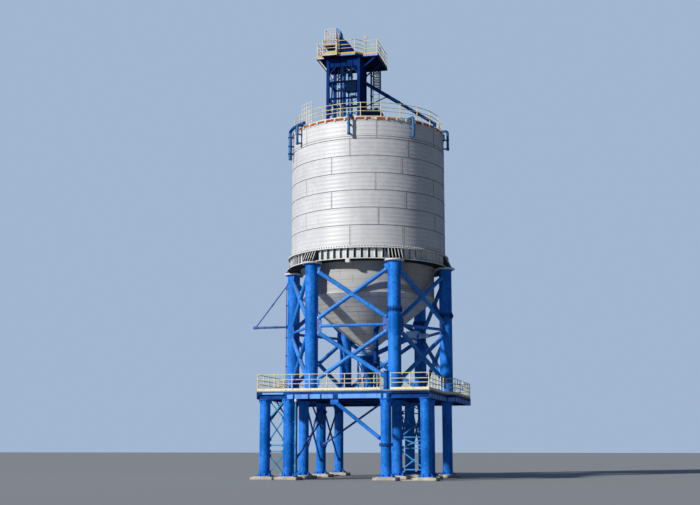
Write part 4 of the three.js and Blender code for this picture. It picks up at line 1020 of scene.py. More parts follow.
shape.turned([(0.3, foot + 0.02), (0.3, 5.9), (0.36, 5.9), (0.36, 5.94), (0.3, 5.94), (0.3, 6.5), (0.36, 6.5),
              (0.36, 6.54), (0.3, 6.54), (0.43, 7.25), (0.43, head - 0.05)], 40)
for z in (6.54, 5.94):
    shape.bolts(0.335, z, 12, 0.014)
shape.settle("chute_stand", [blue_paint, bolt_steel], "blue_paint", "discharge_chute")


# Feeder: an inclined screw tube from the gate up to a light blue drive box, with a finned
# motor flanged to its end.
motor_paint = painted_steel("motor_paint", (0.72, 0.76, 0.80), (0.86, 0.88, 0.90), 0.1, 0.45, 0.2)
# The drive box's light blue is raised towards white as painted sunlight.
box_blue_and_painted_sunlight = painted_steel("drive_box_blue_and_painted_sunlight", (0.36, 0.66, 0.98), (0.48, 0.76, 1.0), 0.1, 0.42, 0.3)
DRIVE_LEFT = 2.3
DRIVE_RIGHT = 3.2
DRIVE_MIDDLE = 0.5
DRIVE_LOW = 8.72
DRIVE_HIGH = 9.16
SLANT = 0.17
MOTOR_LEVEL = 8.88
left, right, low, high = DRIVE_LEFT, DRIVE_RIGHT, DRIVE_LOW, DRIVE_HIGH
y, z = DRIVE_MIDDLE, MOTOR_LEVEL
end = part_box("discharge_feeder")[1].x - AXIS.x - 0.01
start, stop = Vector((0.55, 0.14, 7.82)), Vector((2.45, 0.48, 8.68))
collar = (stop - start).normalized() * 0.02
shape = Shape()
shape.tube(start, stop, 0.15, 28)
for share in (0.0, 0.33, 0.66, 1.0):
    at = start.lerp(stop, share)
    shape.tube(at - collar, at + collar, 0.2, 28)
shape.fin([(left, low + 0.1), (left + 0.05, low), (right - SLANT, low), (right, high - 0.03),
           (right - 0.02, high), (left + SLANT, high)], 0.82, None, 2, y)
shape.fin([(left + 0.14, low + 0.09), (right - SLANT - 0.07, low + 0.09), (right - 0.13, high - 0.07),
           (left + SLANT + 0.07, high - 0.07)], 0.85, None, 2, y)
shape.block((left + 0.2, y - 0.36, 8.44), (right - 0.2, y + 0.36, 8.62), 0.01, 3)
for x in (left + 0.3, right - 0.34):
    shape.block((x, y - 0.3, 8.6), (x + 0.05, y + 0.3, low + 0.01), 0.004)
for near, far, radius, finish, last in (
        (right - 0.1, right + 0.04, 0.16, 0, None), (right + 0.03, right + 0.08, 0.18, 3, None),
        (right + 0.08, end - 0.14, 0.12, 2, None), (end - 0.14, end, 0.16, 3, 0.14)):
    shape.tube((near, y, z), (far, y, z), radius, 24, finish, last)
for k in range(24):
    place = Matrix.Translation((0, y, z)) @ Matrix.Rotation(2 * pi * k / 24, 4, "X")
    shape.block((right + 0.1, -0.004, 0.11), (end - 0.16, 0.004, 0.15), 0.001, 2, place)
shape.settle("screw_feeder", [blue_paint, bolt_steel, box_blue_and_painted_sunlight, motor_paint], "light_blue_paint",
             "discharge_feeder")

VENT = 0.15
VENT_LOW = 7.15
VENT_HIGH = 9.1
bend = [(0, 0.22 * (1 - cos(radians(18 * k))), VENT_HIGH + 0.22 * sin(radians(18 * k))) for k in range(6)]
shape = Shape(0.93, -1.95)
shape.pipe([(0, 0, VENT_LOW), *bend, (0, 0.75, VENT_HIGH + 0.22)], VENT, 20)
shape.pipe([(0, 0, VENT_LOW), (-0.08, 0.2, VENT_LOW - 0.14), (-0.73, 1.7, 6.35)], VENT, 20)
for z in (VENT_LOW + 0.05, 8.1, VENT_HIGH - 0.04):
    shape.post(z, z + 0.05, VENT + 0.04, 20)
shape.settle("hopper_vent", [dark_blue_paint], "dark_blue_paint")


# Shell: seven courses of rolled plate with shallow swages, lapped at the level seams. Each
# course is seven plates round, and its upright seams are offset from the course above.
SHELL_RADIUS = 4.985
COURSE = 1.087
SEAM_TOP = 20.66
SEAM_HALF = 0.02
DOUBLE_SEAM = 0.15
SWAGES = 4
SWAGE_DEPTH = 0.0038
PLATES = 7
FIRST_SEAMS = ((-128, -71), (-90, -48), (-104, -53), (-128, -72), (-104, -50), (-128, -70), (-90, -52))


def seam_angles(course):
    """The upright seams of one course, counted from the top: two set out, the rest even."""
    first, second = FIRST_SEAMS[course]
    step = (360.0 - (second - first)) / (PLATES - 1)
    return [first] + [second + step * k for k in range(PLATES - 1)]


def shell_finish():
    material, place = new_finish("shell_coat")
    course = (place.axis(2) - SEAM_TOP) / COURSE
    tint = place.node("TexWhiteNoise", {"noise_dimensions": "1D"}, {"W": course.floor()})
    patches = place.noise(2.2, 4.0)
    mottle = place.noise(0.3, 4.0)
    grain = place.noise(0.02, 2.0)
    streaks = place.noise(0.3, 3.0, 0.05).rise(0.5, 0.8)
    runs = place.noise(0.09, 2.0, 0.12).rise(0.55, 0.75)
    level = course % 1.0
    under_seam = level.rise(0.72, 1.0)
    swage = abs((level * SWAGES) % 1.0 - 0.5).rise(0.38, 0.5)
    colour = (patches * 0.6 + mottle * 0.4).rise(0.36, 0.64).mix((0.52, 0.53, 0.56), (0.63, 0.635, 0.65))
    colour = (tint * 0.25).mix(colour, (0.68, 0.68, 0.685))
    colour = (streaks * 0.2).mix(colour, (0.42, 0.41, 0.40))
    colour = (under_seam * runs * 0.35).mix(colour, (0.34, 0.33, 0.32))
    # Painted shade along the grooves of the swages.
    colour = (swage * (0.16 + mottle * 0.3)).mix(colour, (0.26, 0.26, 0.28))
    roughness = 0.38 + mottle * 0.16 + streaks * 0.1
    return close_finish(material, colour, roughness, grain * 0.1 + mottle * 0.6, 0.006)


shell_coat = shell_finish()
# The seams are dark joints with painted shadow along the laps; the pale strip beside each upright lap is a
# painted highlight on its edge.
dark_seam_and_painted_shadow = painted_steel("dark_seam_and_painted_shadow", (0.13, 0.135, 0.15), (0.22, 0.22, 0.24), 0.1, 0.6, 0.2)
lap_painted_highlight = painted_steel("lap_painted_highlight", (0.66, 0.67, 0.68), (0.76, 0.76, 0.76), 0.1, 0.45, 0.3)
shell_foot, shell_head = [corner.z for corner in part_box("shell_front_left")]
seams = [SEAM_TOP - COURSE * k for k in range(6)]
courses = list(zip([*seams, shell_foot], [shell_head, *seams]))
profile = []
for low, high in reversed(courses):
    rows = 6 * max(1, round((high - low) / COURSE * SWAGES))
    profile.append((SHELL_RADIUS - 0.004, low))
    for k in range(rows + 1):
        z = low + 0.03 + (high - low - 0.06) * k / rows
        profile.append((SHELL_RADIUS + SWAGE_DEPTH * cos(2 * pi * k / 6), z))
    profile.append((SHELL_RADIUS - 0.004, high))
profile += [(SHELL_RADIUS - 0.06, shell_head), (SHELL_RADIUS - 0.06, shell_foot)]
root = SHELL_RADIUS - 0.02
for name, start in (("back_right", 0.0), ("back_left", 90.0), ("front_left", 180.0), ("front_right", 270.0)):
    span = (start, start + 90.0)
    shape = Shape()
    shape.turned(profile, 48, 0, True, span)
    for z, half in [(z, SEAM_HALF) for z in seams] + [(SEAM_TOP + DOUBLE_SEAM, 0.012)]:
        shape.hoop(root, SHELL_RADIUS + 0.011, z - half, z + half, 48, 1, span)
    for number, (low, high) in enumerate(courses):
        bolts = int((high - low) / 0.12)
        for angle in [angle for angle in seam_angles(number) if start <= angle % 360 < start + 90]:
            place = turn_to(angle)
            # Each upright lap: a dark strip of painted shadow on one side and a pale strip of painted
            # highlight on the other.
            for out, near, far, finish in ((0.012, -0.03, 0.01, 1), (0.014, 0.01, 0.045, 2)):
                shape.block((root, near, low + 0.02), (SHELL_RADIUS + out, far, high - 0.02), 0.002, finish,
                            place)
            for k in range(bolts):
                z = low + (high - low) * (k + 0.5) / bolts
                shape.bolt((SHELL_RADIUS + 0.0045, 0.028, z), (1, 0, 0), 0.01, 2, place)
    shape.settle(f"shell_{name}_plates", [shell_coat, dark_seam_and_painted_shadow, lap_painted_highlight], "shell_paint",
                 f"shell_{name}", crease=40)


# Roof: a shallow cone of plates with radial ribs and a low kerb angle. Lengths of the kerb
# have rusted orange between white clips, and teal brackets reach down over the wall.
roof_paint = painted_steel("roof_paint", (0.30, 0.30, 0.29), (0.42, 0.41, 0.38), 0.5, 0.6)
rust_kerb = painted_steel("rusted_kerb", (0.36, 0.050, 0.018), (0.58, 0.15, 0.045), 0.1, 0.75, 1.0)
kerb_cream = painted_steel("kerb_cream", (0.62, 0.58, 0.48), (0.76, 0.72, 0.60), 0.2, 0.6, 0.9)
bracket_teal = painted_steel("bracket_teal", (0.012, 0.10, 0.27), (0.035, 0.19, 0.40), 0.25, 0.42)
KERB_RADIUS = 5.06
KERB_FOOT = 21.87
KERB_HEAD = 22.0
KERB_TOP = 22.05
KERB_LENGTHS = 72
BRACKETS = 8
BRACKET_OUT = 5.315
BRACKET_TUBE = 0.084
BRACKET_BEND = 0.16
ARM_DROP = 0.31
foot, top = [corner.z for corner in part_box("roof")]
shape = Shape()
shape.turned([(4.7, KERB_HEAD - 0.01), (0.25, top - 0.02), (0.25, top - 0.07), (4.7, KERB_HEAD - 0.06)],
             96, 0, True)
shape.post(top - 0.05, top, 0.3, 32)
shape.hoop(4.65, SHELL_RADIUS + 0.02, shell_head + 0.001, KERB_HEAD - 0.01, 96, 6)
shape.hoop(4.74, 4.96, KERB_HEAD - 0.012, KERB_TOP, 96)
dice = random.Random(7)
for k in range(KERB_LENGTHS):
    start, end = 360 / KERB_LENGTHS * k, 360 / KERB_LENGTHS * (k + 1)
    finish = 1 if dice.random() < 0.86 else 5
    high, low = KERB_HEAD - dice.uniform(0, 0.035), KERB_FOOT + dice.uniform(-0.012, 0.02)
    out = KERB_RADIUS - dice.uniform(0, 0.02)
    span = (start + 0.1, end - 0.1 - 0.5 * dice.random())
    shape.hoop(SHELL_RADIUS + 0.01, out, low, high, 3, finish, span)
shape.fins([(0.3, top - 0.03), (4.6, KERB_HEAD - 0.03), (4.6, KERB_HEAD + 0.03), (0.3, top)], 0.012, 24)
for k in range(48):
    place, out = turn_to(7.5 * k + 3.75), KERB_RADIUS + 0.018
    shape.block((KERB_RADIUS - 0.06, -0.055, KERB_FOOT - 0.03), (out, 0.055, KERB_HEAD + 0.012),
                0.006, 2, place)
    shape.bolt((out, 0, KERB_HEAD - 0.07), (1, 0, 0), 0.018, 3, place)
arm_level = top - ARM_DROP
arm = [(4.62, arm_level - 0.01), (5.1, arm_level)]
for turn in [radians(90 - 15 * k) for k in range(7)]:
    arm.append((BRACKET_OUT - BRACKET_BEND * (1 - cos(turn)), arm_level - BRACKET_BEND * (1 - sin(turn))))
arm.append((BRACKET_OUT, foot + 0.03))
for k in range(BRACKETS):
    place = turn_to(360 / BRACKETS * k)
    x, y, _ = place @ Vector((BRACKET_OUT, 0, 0))
    shape.pipe([place @ Vector((r, 0, z)) for r, z in arm], BRACKET_TUBE, 20, 4)
    shape.post(foot, foot + 0.04, 0.1, 20, 4, (x, y))
    for z in (foot + 0.11, foot + 0.69):
        shape.block((SHELL_RADIUS, -0.09, z - 0.05), (SHELL_RADIUS + 0.03, 0.09, z + 0.05), 0.004, 4, place)
        shape.block((SHELL_RADIUS + 0.02, -0.02, z - 0.05), (BRACKET_OUT, 0.02, z + 0.05), 0.004, 4, place)
        shape.post(z - 0.04, z + 0.04, 0.102, 20, 4, (x, y))
shape.settle("roof_plates",
             [roof_paint, rust_kerb, white_paint, bolt_steel, bracket_teal, kerb_cream, shell_coat],
             "roof_steel", "roof")


# Edge pipe: a vent pipe of the same teal tube lies along the roof's left edge and turns down
# over the wall in flanged lengths.
EDGE_PIPE_OUT = 5.2
EDGE_PIPE = 0.105
EDGE_PIPE_FOOT = 20.2
z, down = arm_level, turn_to(-151)
lying = [turn_to(angle) @ Vector((EDGE_PIPE_OUT, 0, z)) for angle in range(-128, -149, -3)]
hanging = [down @ Vector((EDGE_PIPE_OUT + 0.05, 0, level)) for level in (z - 0.2, EDGE_PIPE_FOOT)]
shape = Shape()
shape.tube(lying[0], lying[1], EDGE_PIPE, 16)
shape.pipe([*lying[1:], down @ Vector((EDGE_PIPE_OUT + 0.03, 0, z - 0.06)), hanging[0]], EDGE_PIPE, 16, 1)
shape.pipe(hanging, EDGE_PIPE, 16)
for level in (z - 0.5, 21.05, 20.55):
    at = hanging[0].xy
    shape.post(level, level + 0.06, EDGE_PIPE + 0.04, 16, 1, at)
    shape.block((SHELL_RADIUS, -0.02, level - 0.02), (EDGE_PIPE_OUT, 0.02, level + 0.08), 0.003, 1, down)
shape.settle("roof_edge_pipe", [bracket_teal, dark_blue_paint], "dark_blue_paint")


# Roof railing: posts on the kerb with three straight rails between them and a low cream toe
# board. A taller closed panel stands at the front left, where the walkway turns.
ROOF_RAIL_RADIUS = 4.85
ROOF_BAYS = 24
ROOF_TOE = 0.07
TALL_FROM = 222.5
TALL_TO = 236.0
TALL_HEIGHT = 1.5
roof_rail_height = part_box("roof_railing_back")[1].z - KERB_TOP


def on_rail(angle):
    return ROOF_RAIL_RADIUS * cos(radians(angle)), ROOF_RAIL_RADIUS * sin(radians(angle))


for name, start in (("front", 187.5), ("back", 7.5)):
    shape = Shape()
    spots = [on_rail(start + 360 / ROOF_BAYS * k) for k in range(ROOF_BAYS // 2)]
    railing(shape, spots, KERB_TOP, roof_rail_height, toe=ROOF_TOE)
    if name == "front":
        posts = [on_rail(TALL_FROM + (TALL_TO - TALL_FROM) * k / 4) for k in range(5)]
        for at in posts:
            shape.post(KERB_TOP, KERB_TOP + TALL_HEIGHT, 0.024, 10, 2, at)
        for z in [KERB_TOP + TALL_HEIGHT * share for share in (0.16, 0.37, 0.58, 0.79, 0.985)]:
            shape.pipe([(*at, z) for at in posts], 0.019, 8, 2)
    shape.settle(f"roof_railing_{name}_tubes", [railing_yellow, toe_cream, white_paint], "railing_paint",
                 f"roof_railing_{name}")


# Elevator tower: four navy columns on the roof, with cross beams, thin diagonals and a deep
# panelled band below the deck. Sheet closes its right side, and a control box hangs in front.
navy_paint = painted_steel("navy_paint", (0.0, 0.020, 0.13), (0.0, 0.046, 0.25), 0.06, 0.55, 0.1, 0.05)
# Near black: painted shade under the tower deck and on its landing plates, and the dark housing of the roof
# filter.
near_black_and_painted_shade = painted_steel("near_black_paint_and_painted_shade", (0.0, 0.003, 0.018), (0.0, 0.008, 0.045),
                            0.05, 0.7, 0.1, 0.05)
cabinet = painted_steel("cabinet_paint", (0.0, 0.012, 0.045), (0.0, 0.028, 0.085), 0.04, 0.6, 0.2, 0.05)
LEFT, RIGHT, FRONT, BACK = -1.74, 0.27, -3.75, -2.0
POST_HALF = 0.095
BEAM_LEVELS = (23.68, 24.78)
BAND_FOOT = 25.77
BAND_HEAD = 26.33
CLAD_FOOT = 22.6
CLAD_HEAD = 25.8
SHEET_RIBS = 9


def roof_height(x, y):
    away = Vector((x, y)).length
    return top + (KERB_TOP - top) * max(0.0, away - 0.3) / 4.3


def square(half):
    return flat(half, -half, half)


h = POST_HALF
tower_corners = [(LEFT, FRONT), (RIGHT, FRONT), (RIGHT, BACK), (LEFT, BACK)]
post = i_section(h, 0.006, 0.016, -h, h)
beam = [(-0.04, -0.06), (0.04, -0.06), (0.04, -0.05), (-0.03, -0.05), (-0.03, 0.05), (0.04, 0.05),
        (0.04, 0.06), (-0.04, 0.06)]
tower_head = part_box("tower_frame")[1].z
shape = Shape()
for x, y in tower_corners:
    foot = roof_height(x, y)
    shape.bar((x, y, foot), (x, y, tower_head), post, up=(0, 1, 0))
    shape.pad(0.16, foot - 0.05, foot + 0.02, 0.004, at=(x, y))
    for u in (-0.125, 0.125):
        for v in (-0.125, 0.125):
            shape.bolt((x + u, y + v, foot + 0.02), UP, 0.018)
for i, (a, b) in enumerate(edges(tower_corners)):
    place, length = edge_place(a, b)
    band = BAND_FOOT if i < 2 else BAND_HEAD - 0.14
    shape.block((0, -0.02, band), (length, 0.02, BAND_HEAD), 0.004, 0, place)
    for z in (band + 0.01, BAND_HEAD - 0.02):
        shape.block((0, -0.07, z - 0.015), (length, 0.05, z + 0.015), 0.003, 0, place)
    for x in [length * k / 5 for k in range(1, 5)]:
        shape.block((x - 0.006, -0.06, band + 0.03), (x + 0.006, 0, BAND_HEAD - 0.03), 0.001, 0, place)
    for low, high, section in (
            *[(z, z, beam) for z in BEAM_LEVELS], (24.84, 25.76, square(0.02)),
            (22.5, 23.62, square(0.016)), (23.62, 22.5, square(0.016))):
        shape.bar((*a, low), (*b, high), section)
    if i in (0, 2):
        for near, far in ((a, b), (b, a)):
            knee, meet = along((*near, 0), (*far, 0), h, h + 0.42)
            shape.bar(knee + UP * (BAND_FOOT - 0.42), meet + UP * BAND_FOOT, square(0.032))
shape.block((RIGHT - 0.012, FRONT + h, CLAD_FOOT), (RIGHT + 0.012, BACK - h, CLAD_HEAD - 0.04), 0.003)
for k in range(SHEET_RIBS):
    y = FRONT + h + (BACK - FRONT - 2 * h) * (k + 0.5) / SHEET_RIBS
    shape.block((RIGHT + 0.008, y - 0.03, CLAD_FOOT + 0.01), (RIGHT + 0.03, y + 0.03, CLAD_HEAD - 0.05),
                0.008)
for z in BEAM_LEVELS:
    shape.block((RIGHT + 0.008, FRONT + h, z - 0.04), (RIGHT + 0.036, BACK - h, z + 0.04), 0.003)
for x, lean in ((LEFT + 0.42, 0.0), (LEFT + 0.3, -0.16)):
    shape.bar((x, FRONT + 0.02, 24.7), (x + lean, FRONT + 0.02, 22.6), square(0.04))
# The landing plates and the front beam under them take the near black as painted shade.
for low, high, edge, finish in (
        ((LEFT + h, FRONT + h, 24.73), (-1.22, FRONT + h + 0.3, 24.76), 0.004, 3),
        ((-0.3, FRONT + h, 24.73), (RIGHT - h, BACK - h, 24.76), 0.004, 3),
        ((LEFT + h, FRONT - 0.03, 24.70), (RIGHT - h, FRONT + 0.03, 24.84), 0.004, 3),
        ((-0.58, FRONT - 0.02, 24.1), (0.12, FRONT + 0.4, 24.72), 0.015, 2),
        ((-0.57, FRONT - 0.03, 24.15), (0.11, FRONT - 0.01, 24.68), 0.006, 2),
        ((0.03, FRONT - 0.03, 24.42), (0.06, FRONT + 0.01, 24.54), 0.003, 1),
        ((-0.36, FRONT + 0.15, 23.88), (0.02, FRONT + 0.4, 24.04), 0.01, 4),
        ((-1.16, FRONT + 0.15, 24.42), (-0.96, FRONT + 0.4, 24.64), 0.01, 4)):
    shape.block(low, high, edge, finish)
for x0, x1, z0, z1 in ((-0.58, -0.38, 25.74, 25.56), (-0.22, -0.04, 25.58, 25.74), (-0.36, 0.0, 24.1, 24.1)):
    shape.tube((x0, FRONT + 0.2, z0), (x1, FRONT + 0.2, z1), 0.026, 10, 5)
shape.settle("tower_steelwork", [navy_paint, bolt_steel, cabinet, near_black_and_painted_shade, light_blue_paint, cap_paint],
             "dark_blue_paint", "tower_frame")


# Roof filter: a low dark housing on the roof beside the tower, on four feet, with a sloping
# lid, a fan cowl and a short pipe into the roof.
x0, x1, y0, y1 = 0.45, 1.62, -3.7, -2.7
z = roof_height(x1, y0) - 0.2
shape = Shape()
for x in (x0 + 0.07, x1 - 0.07):
    for y in (y0 + 0.07, y1 - 0.07):
        shape.pad(0.03, z, z + 0.4, 0.004, at=(x, y))
shape.block((x0, y0, z + 0.22), (x1, y1, z + 0.78), 0.01)
shape.fin([(x0 - 0.03, z + 0.78), (x1 + 0.03, z + 0.78), (x1 + 0.03, z + 0.82), (x0 + 0.25, z + 0.98),
           (x0 - 0.03, z + 0.98)], y1 - y0 + 0.06, y=(y0 + y1) / 2)
for k in range(4):
    x = x0 + 0.16 + 0.28 * k
    shape.block((x - 0.11, y0 - 0.012, z + 0.28), (x + 0.11, y0 + 0.01, z + 0.72))
shape.post(z + 0.8, z + 1.05, 0.14, 20, 1, (x1 - 0.3, y0 + 0.3))
shape.post(z - 0.02, z + 0.24, 0.12, 20, 1, (x0 + 0.3, y1 - 0.3))
shape.settle("roof_filter", [near_black_and_painted_shade, cabinet], "dark_blue_paint")


# Bucket elevator: two pressed trunks in flanged lengths rise through the tower to a narrow
# head with a sloping throat, its shaft bearing and an inspection door.
trunk_paint = painted_steel("trunk_paint", (0.07, 0.22, 0.52), (0.14, 0.33, 0.66), 0.15, 0.42, 0.4, 0.2)
TRUNKS = ((-1.15, -0.86), (-0.64, -0.35))
TRUNK_FRONT = -3.05
TRUNK_BACK = -2.7
TRUNK_HEAD = 26.95
HEAD_FRONT = -3.22
HEAD_BACK = -2.52
SHAFT_X = -1.02
SHAFT_LEVEL = 27.5
foot, head = [corner.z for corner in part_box("elevator_casing")]
front, back = TRUNK_FRONT, TRUNK_BACK
shape = Shape()
for x0, x1 in TRUNKS:
    shape.block((x0 + 0.02, front + 0.02, foot + 0.02), (x1 - 0.02, back - 0.02, TRUNK_HEAD), 0.012)
    for z in [22.75 + 0.87 * k for k in range(5)]:
        for low in (z, z + 0.026):
            shape.block((x0 - 0.012, front - 0.012, low), (x1 + 0.012, back + 0.012, low + 0.02), 0.002)
        for k in range(4):
            shape.bolt((x0 + 0.02 + (x1 - x0 - 0.04) * k / 3, front - 0.004, z + 0.046), UP, 0.009)
    x = (x0 + x1) / 2
    shape.block((x - 0.09, front - 0.008, 23.2), (x + 0.09, front + 0.03, 23.5), 0.004)
for x, radius, finish in ((-1.2, 0.03, 0), (-0.9, 0.026, 0), (-0.74, 0.045, 2), (-0.52, 0.028, 2)):
    shape.post(22.7, 25.75, radius, 12, finish, (x, front - 0.16))
    for z in (23.3, 24.4, 25.4):
        shape.block((x - 0.05, front - 0.21, z), (x + 0.05, front - 0.005, z + 0.035), 0.003, finish)
left, right, neck, front, back = -1.45, -0.28, -1.12, HEAD_FRONT, HEAD_BACK
throat = [(left + 0.01, 26.91), (right, 26.91), (right, 27.2), (-0.57, 27.59), (-0.9, 27.89),
          (neck + 0.1, 28.02), (left + 0.01, 28.02)]
casing = [(left, 28.02), (neck + 0.07, 28.02), (neck + 0.03, 28.4), (neck - 0.04, head - 0.05),
          (neck - 0.1, head - 0.01), (left + 0.04, head - 0.01), (left, head - 0.05)]
for outline, finish in ((throat, 2), (casing, 0)):
    shape.fin(outline, back - front - 0.05, None, finish, (front + back) / 2)
    shape.fin(outline, 0.02, None, finish, front + 0.011)
    shape.fin(outline, 0.02, None, finish, back - 0.011)
shape.block((left, front + 0.004, 27.99), (neck + 0.12, back - 0.004, 28.05))
shape.block((left + 0.06, front + 0.002, 28.14), (neck - 0.02, front + 0.03, 28.46))
for near, far, radius, sides, finish in ((0.02, -0.03, 0.12, 24, 2), (-0.03, -0.08, 0.045, 16, 1)):
    shape.tube((SHAFT_X, front + near, SHAFT_LEVEL), (SHAFT_X, front + far, SHAFT_LEVEL), radius, sides,
               finish)
for angle in [pi / 3 * k for k in range(6)]:
    x, z = SHAFT_X + 0.09 * cos(angle), SHAFT_LEVEL + 0.09 * sin(angle)
    shape.bolt((x, front - 0.03, z), (0, -1, 0), 0.012)
shape.settle("bucket_elevator", [trunk_paint, bolt_steel, navy_paint], "light_blue_paint", "elevator_casing")


# Tower deck: plate on a channel rim with joists below and wings on both sides that stand on
# pale sloping struts. A pressed fascia closes its front, and a lamp stands at the right.
pale_strut = painted_steel("pale_strut_paint", (0.62, 0.63, 0.62), (0.78, 0.77, 0.74), 0.15, 0.5, 0.8)
FASCIA_FINISHES = {0: 3, 2: 3, 4: 2, 6: 2}
LAMP_X = 0.7
LAMP_Y = -3.56
LAMP_LEVEL = 27.68
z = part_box("tower_deck")[1].z
outline = [(-2.5, -3.76), (-1.98, -3.76), (-1.98, -4.35), (-1.0, -4.35), (-1.0, -4.1), (0.12, -4.1),
           (0.54, -3.65), (1.48, -3.65), (1.48, -0.65), (-2.5, -0.65)]
shape = Shape()
# The plate's underside layer and the joists take the near black as painted shade.
for high, finish in ((z, 1), (z - 0.014, 4)):
    shape.prism([(x, y, high - 0.012) for x, y in outline], [(x, y, high) for x, y in outline], finish)
rim = [(0, 0), (0.06, 0), (0.06, 0.008), (0.01, 0.008), (0.01, 0.13), (0.06, 0.13), (0.06, 0.137), (0, 0.137)]
for i, (a, b) in enumerate(edges(outline)):
    shape.bar((*a, z - 0.15), (*b, z - 0.15), [(-u, v) for u, v in rim])
    if i in FASCIA_FINISHES:
        place, length = edge_place(a, b)
        low, high = (0.01, -0.002, z - 0.1), (length - 0.01, 0.012, z - 0.02)
        shape.block(low, high, 0.003, FASCIA_FINISHES[i], place)
for x in [-2.5 + 3.98 * k / 8 for k in range(1, 8)]:
    front = -4.28 if -1.9 < x < -1.05 else -4.04 if -1.0 < x < 0.1 else -3.6
    shape.bar((x, front, z - 0.13), (x, -0.7, z - 0.13), flat(0.03, 0, 0.1), 4)
strut = [(-0.04, -0.04), (0.04, -0.04), (0.04, -0.03), (-0.03, -0.03), (-0.03, 0.04), (-0.04, 0.04)]
for tip, root, y, finish in (
        (-2.38, LEFT - h, -3.7, 3), (-2.38, LEFT - h, -2.0, 3), (1.3, RIGHT + h, -3.5, 0),
        (1.3, RIGHT + h, -2.0, 0)):
    shape.bar((tip, y, z - 0.14), (root, y, 25.62), strut, finish)
    side = root + (0.02 if tip > 0 else -0.02)
    shape.block((root, y - 0.06, 25.5), (side, y + 0.06, 25.78), 0.003, finish)
x, y, head = LAMP_X, LAMP_Y, LAMP_LEVEL
shape.post(z, head, 0.013, 10, 0, (x, y))
shape.tube((x, y + 0.03, head), (x, y - 0.08, head - 0.06), 0.05, 16, 0, 0.12)
shape.tube((x, y - 0.08, head - 0.06), (x, y - 0.10, head - 0.07), 0.125, 16, 3, 0.11)
shape.block((x - 0.05, y - 0.02, head), (x + 0.05, y + 0.05, head + 0.07), 0.006, 3)
shape.settle("tower_platform", [navy_paint, deck_steel, light_blue_paint, pale_strut, near_black_and_painted_shade],
             "dark_blue_paint", "tower_deck")


# Tower railing: the same tube railing as the deck's on three sides of the tower platform,
# with a yellow toe board, open at the back where the ladder arrives.
toe_yellow = painted_steel("toe_board_yellow", (0.72, 0.42, 0.03), (0.82, 0.54, 0.08), 0.15, 0.45, 0.7)
TOWER_BAY = 0.85
TOWER_TOE = 0.1
route = [(-2.46, -0.69), (-2.46, -3.72), (-1.94, -3.72), (-1.94, -4.31), (-1.04, -4.31), (-1.04, -4.06),
         (0.104, -4.06), (0.524, -3.61), (1.44, -3.61), (1.44, -0.69)]
shape = Shape()
railing(shape, route, z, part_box("tower_railing")[1].z - z, TOWER_BAY, TOWER_TOE)
shape.settle("tower_railing_tubes", [railing_yellow, toe_yellow], "railing_paint", "tower_railing")


# Head platform: a small railed stand on the tower deck beside the elevator head, with pale
# uprights and rails and a plank floor edged in orange.
pale_paint = painted_steel("stand_paint", (0.66, 0.62, 0.58), (0.80, 0.74, 0.70), 0.15, 0.5, 0.8)
orange_paint = painted_steel("stand_floor_paint", (0.66, 0.17, 0.03), (0.78, 0.30, 0.07), 0.15, 0.5, 0.6)
STAND_FLOOR = 27.052
STAND_RAILS = (27.45, 27.63, 27.8, 27.98)
(left, front, foot), (right, back, head) = node_box("head_platform")
x0, x1, y0, y1 = left + 0.03, right - 0.03, front + 0.03, back - 0.03
corners = [(x0, y0), (x1, y0), (x1, y1), (x0, y1)]
shape = Shape()
for at in corners:
    shape.post(foot, head - 0.02, 0.026, 12, 0, at)
    shape.post(foot, foot + 0.012, 0.05, 12, 0, at)
for z in STAND_RAILS:
    shape.pipe([(x, y, z) for x, y in corners + corners[:1]], 0.016, 8)
shape.pipe([(x, y, head - 0.025) for x, y in corners + corners[:1]], 0.022, 8)
for a, b in edges(corners):
    for share in (0.25, 0.5, 0.75):
        shape.post(STAND_FLOOR, head - 0.03, 0.012, 8, 0, Vector(a).lerp(b, share))
shape.block((left, front, STAND_FLOOR + 0.006), (right, back, STAND_FLOOR + 0.055), 0.006, 1)
shape.block((x0 - 0.01, y0 - 0.01, STAND_FLOOR), (x1 + 0.01, y1 + 0.01, STAND_FLOOR + 0.01), 0.002, 2)
shape.settle("head_stand", [pale_paint, orange_paint, navy_paint], "railing_paint", "head_platform")


# Tower ladder: two stringers with round rungs from the roof past the tower deck. From head
# height up, a cage of close hoops and upright straps stands round the climber.
ladder_paint = painted_steel("ladder_paint", (0.13, 0.22, 0.25), (0.27, 0.37, 0.38), 0.3, 0.5, 0.8)
LADDER_X = 0.7
LADDER_Y = -0.6
LADDER_HALF = 0.2
RUNG_PITCH = 0.3
CAGE_FOOT = 25.25
CAGE_HEAD = 26.93
CAGE_HALF = 0.235
CAGE_MIDDLE = 0.325
CAGE_DEPTH = 0.37
HOOPS = 10
x, y = LADDER_X, LADDER_Y
foot, head = roof_height(x, y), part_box("tower_ladder")[1].z
shape = Shape(x, y)
for side in (-LADDER_HALF, LADDER_HALF):
    shape.block((side - 0.02, -0.015, foot), (side + 0.02, 0.025, head), 0.004)
for k in range(int((head - foot - 0.2) / RUNG_PITCH)):
    z = foot + RUNG_PITCH * (k + 1)
    shape.tube((-LADDER_HALF, 0, z), (LADDER_HALF, 0, z), 0.012, 8)
turns = [radians(angle) for angle in range(-60, 241, 20)]
cage = [(CAGE_HALF * cos(turn), CAGE_MIDDLE + CAGE_DEPTH * sin(turn)) for turn in turns]
for z in [CAGE_FOOT + (CAGE_HEAD - CAGE_FOOT - 0.05) * k / (HOOPS - 1) for k in range(HOOPS)]:
    for a, b in zip(cage, cage[1:]):
        shape.bar((*a, z), (*b, z), flat(0.003, 0, 0.05))
for at in cage[1:-1]:
    shape.pad((0.02, 0.004), CAGE_FOOT, CAGE_HEAD, 0.001, at=at)
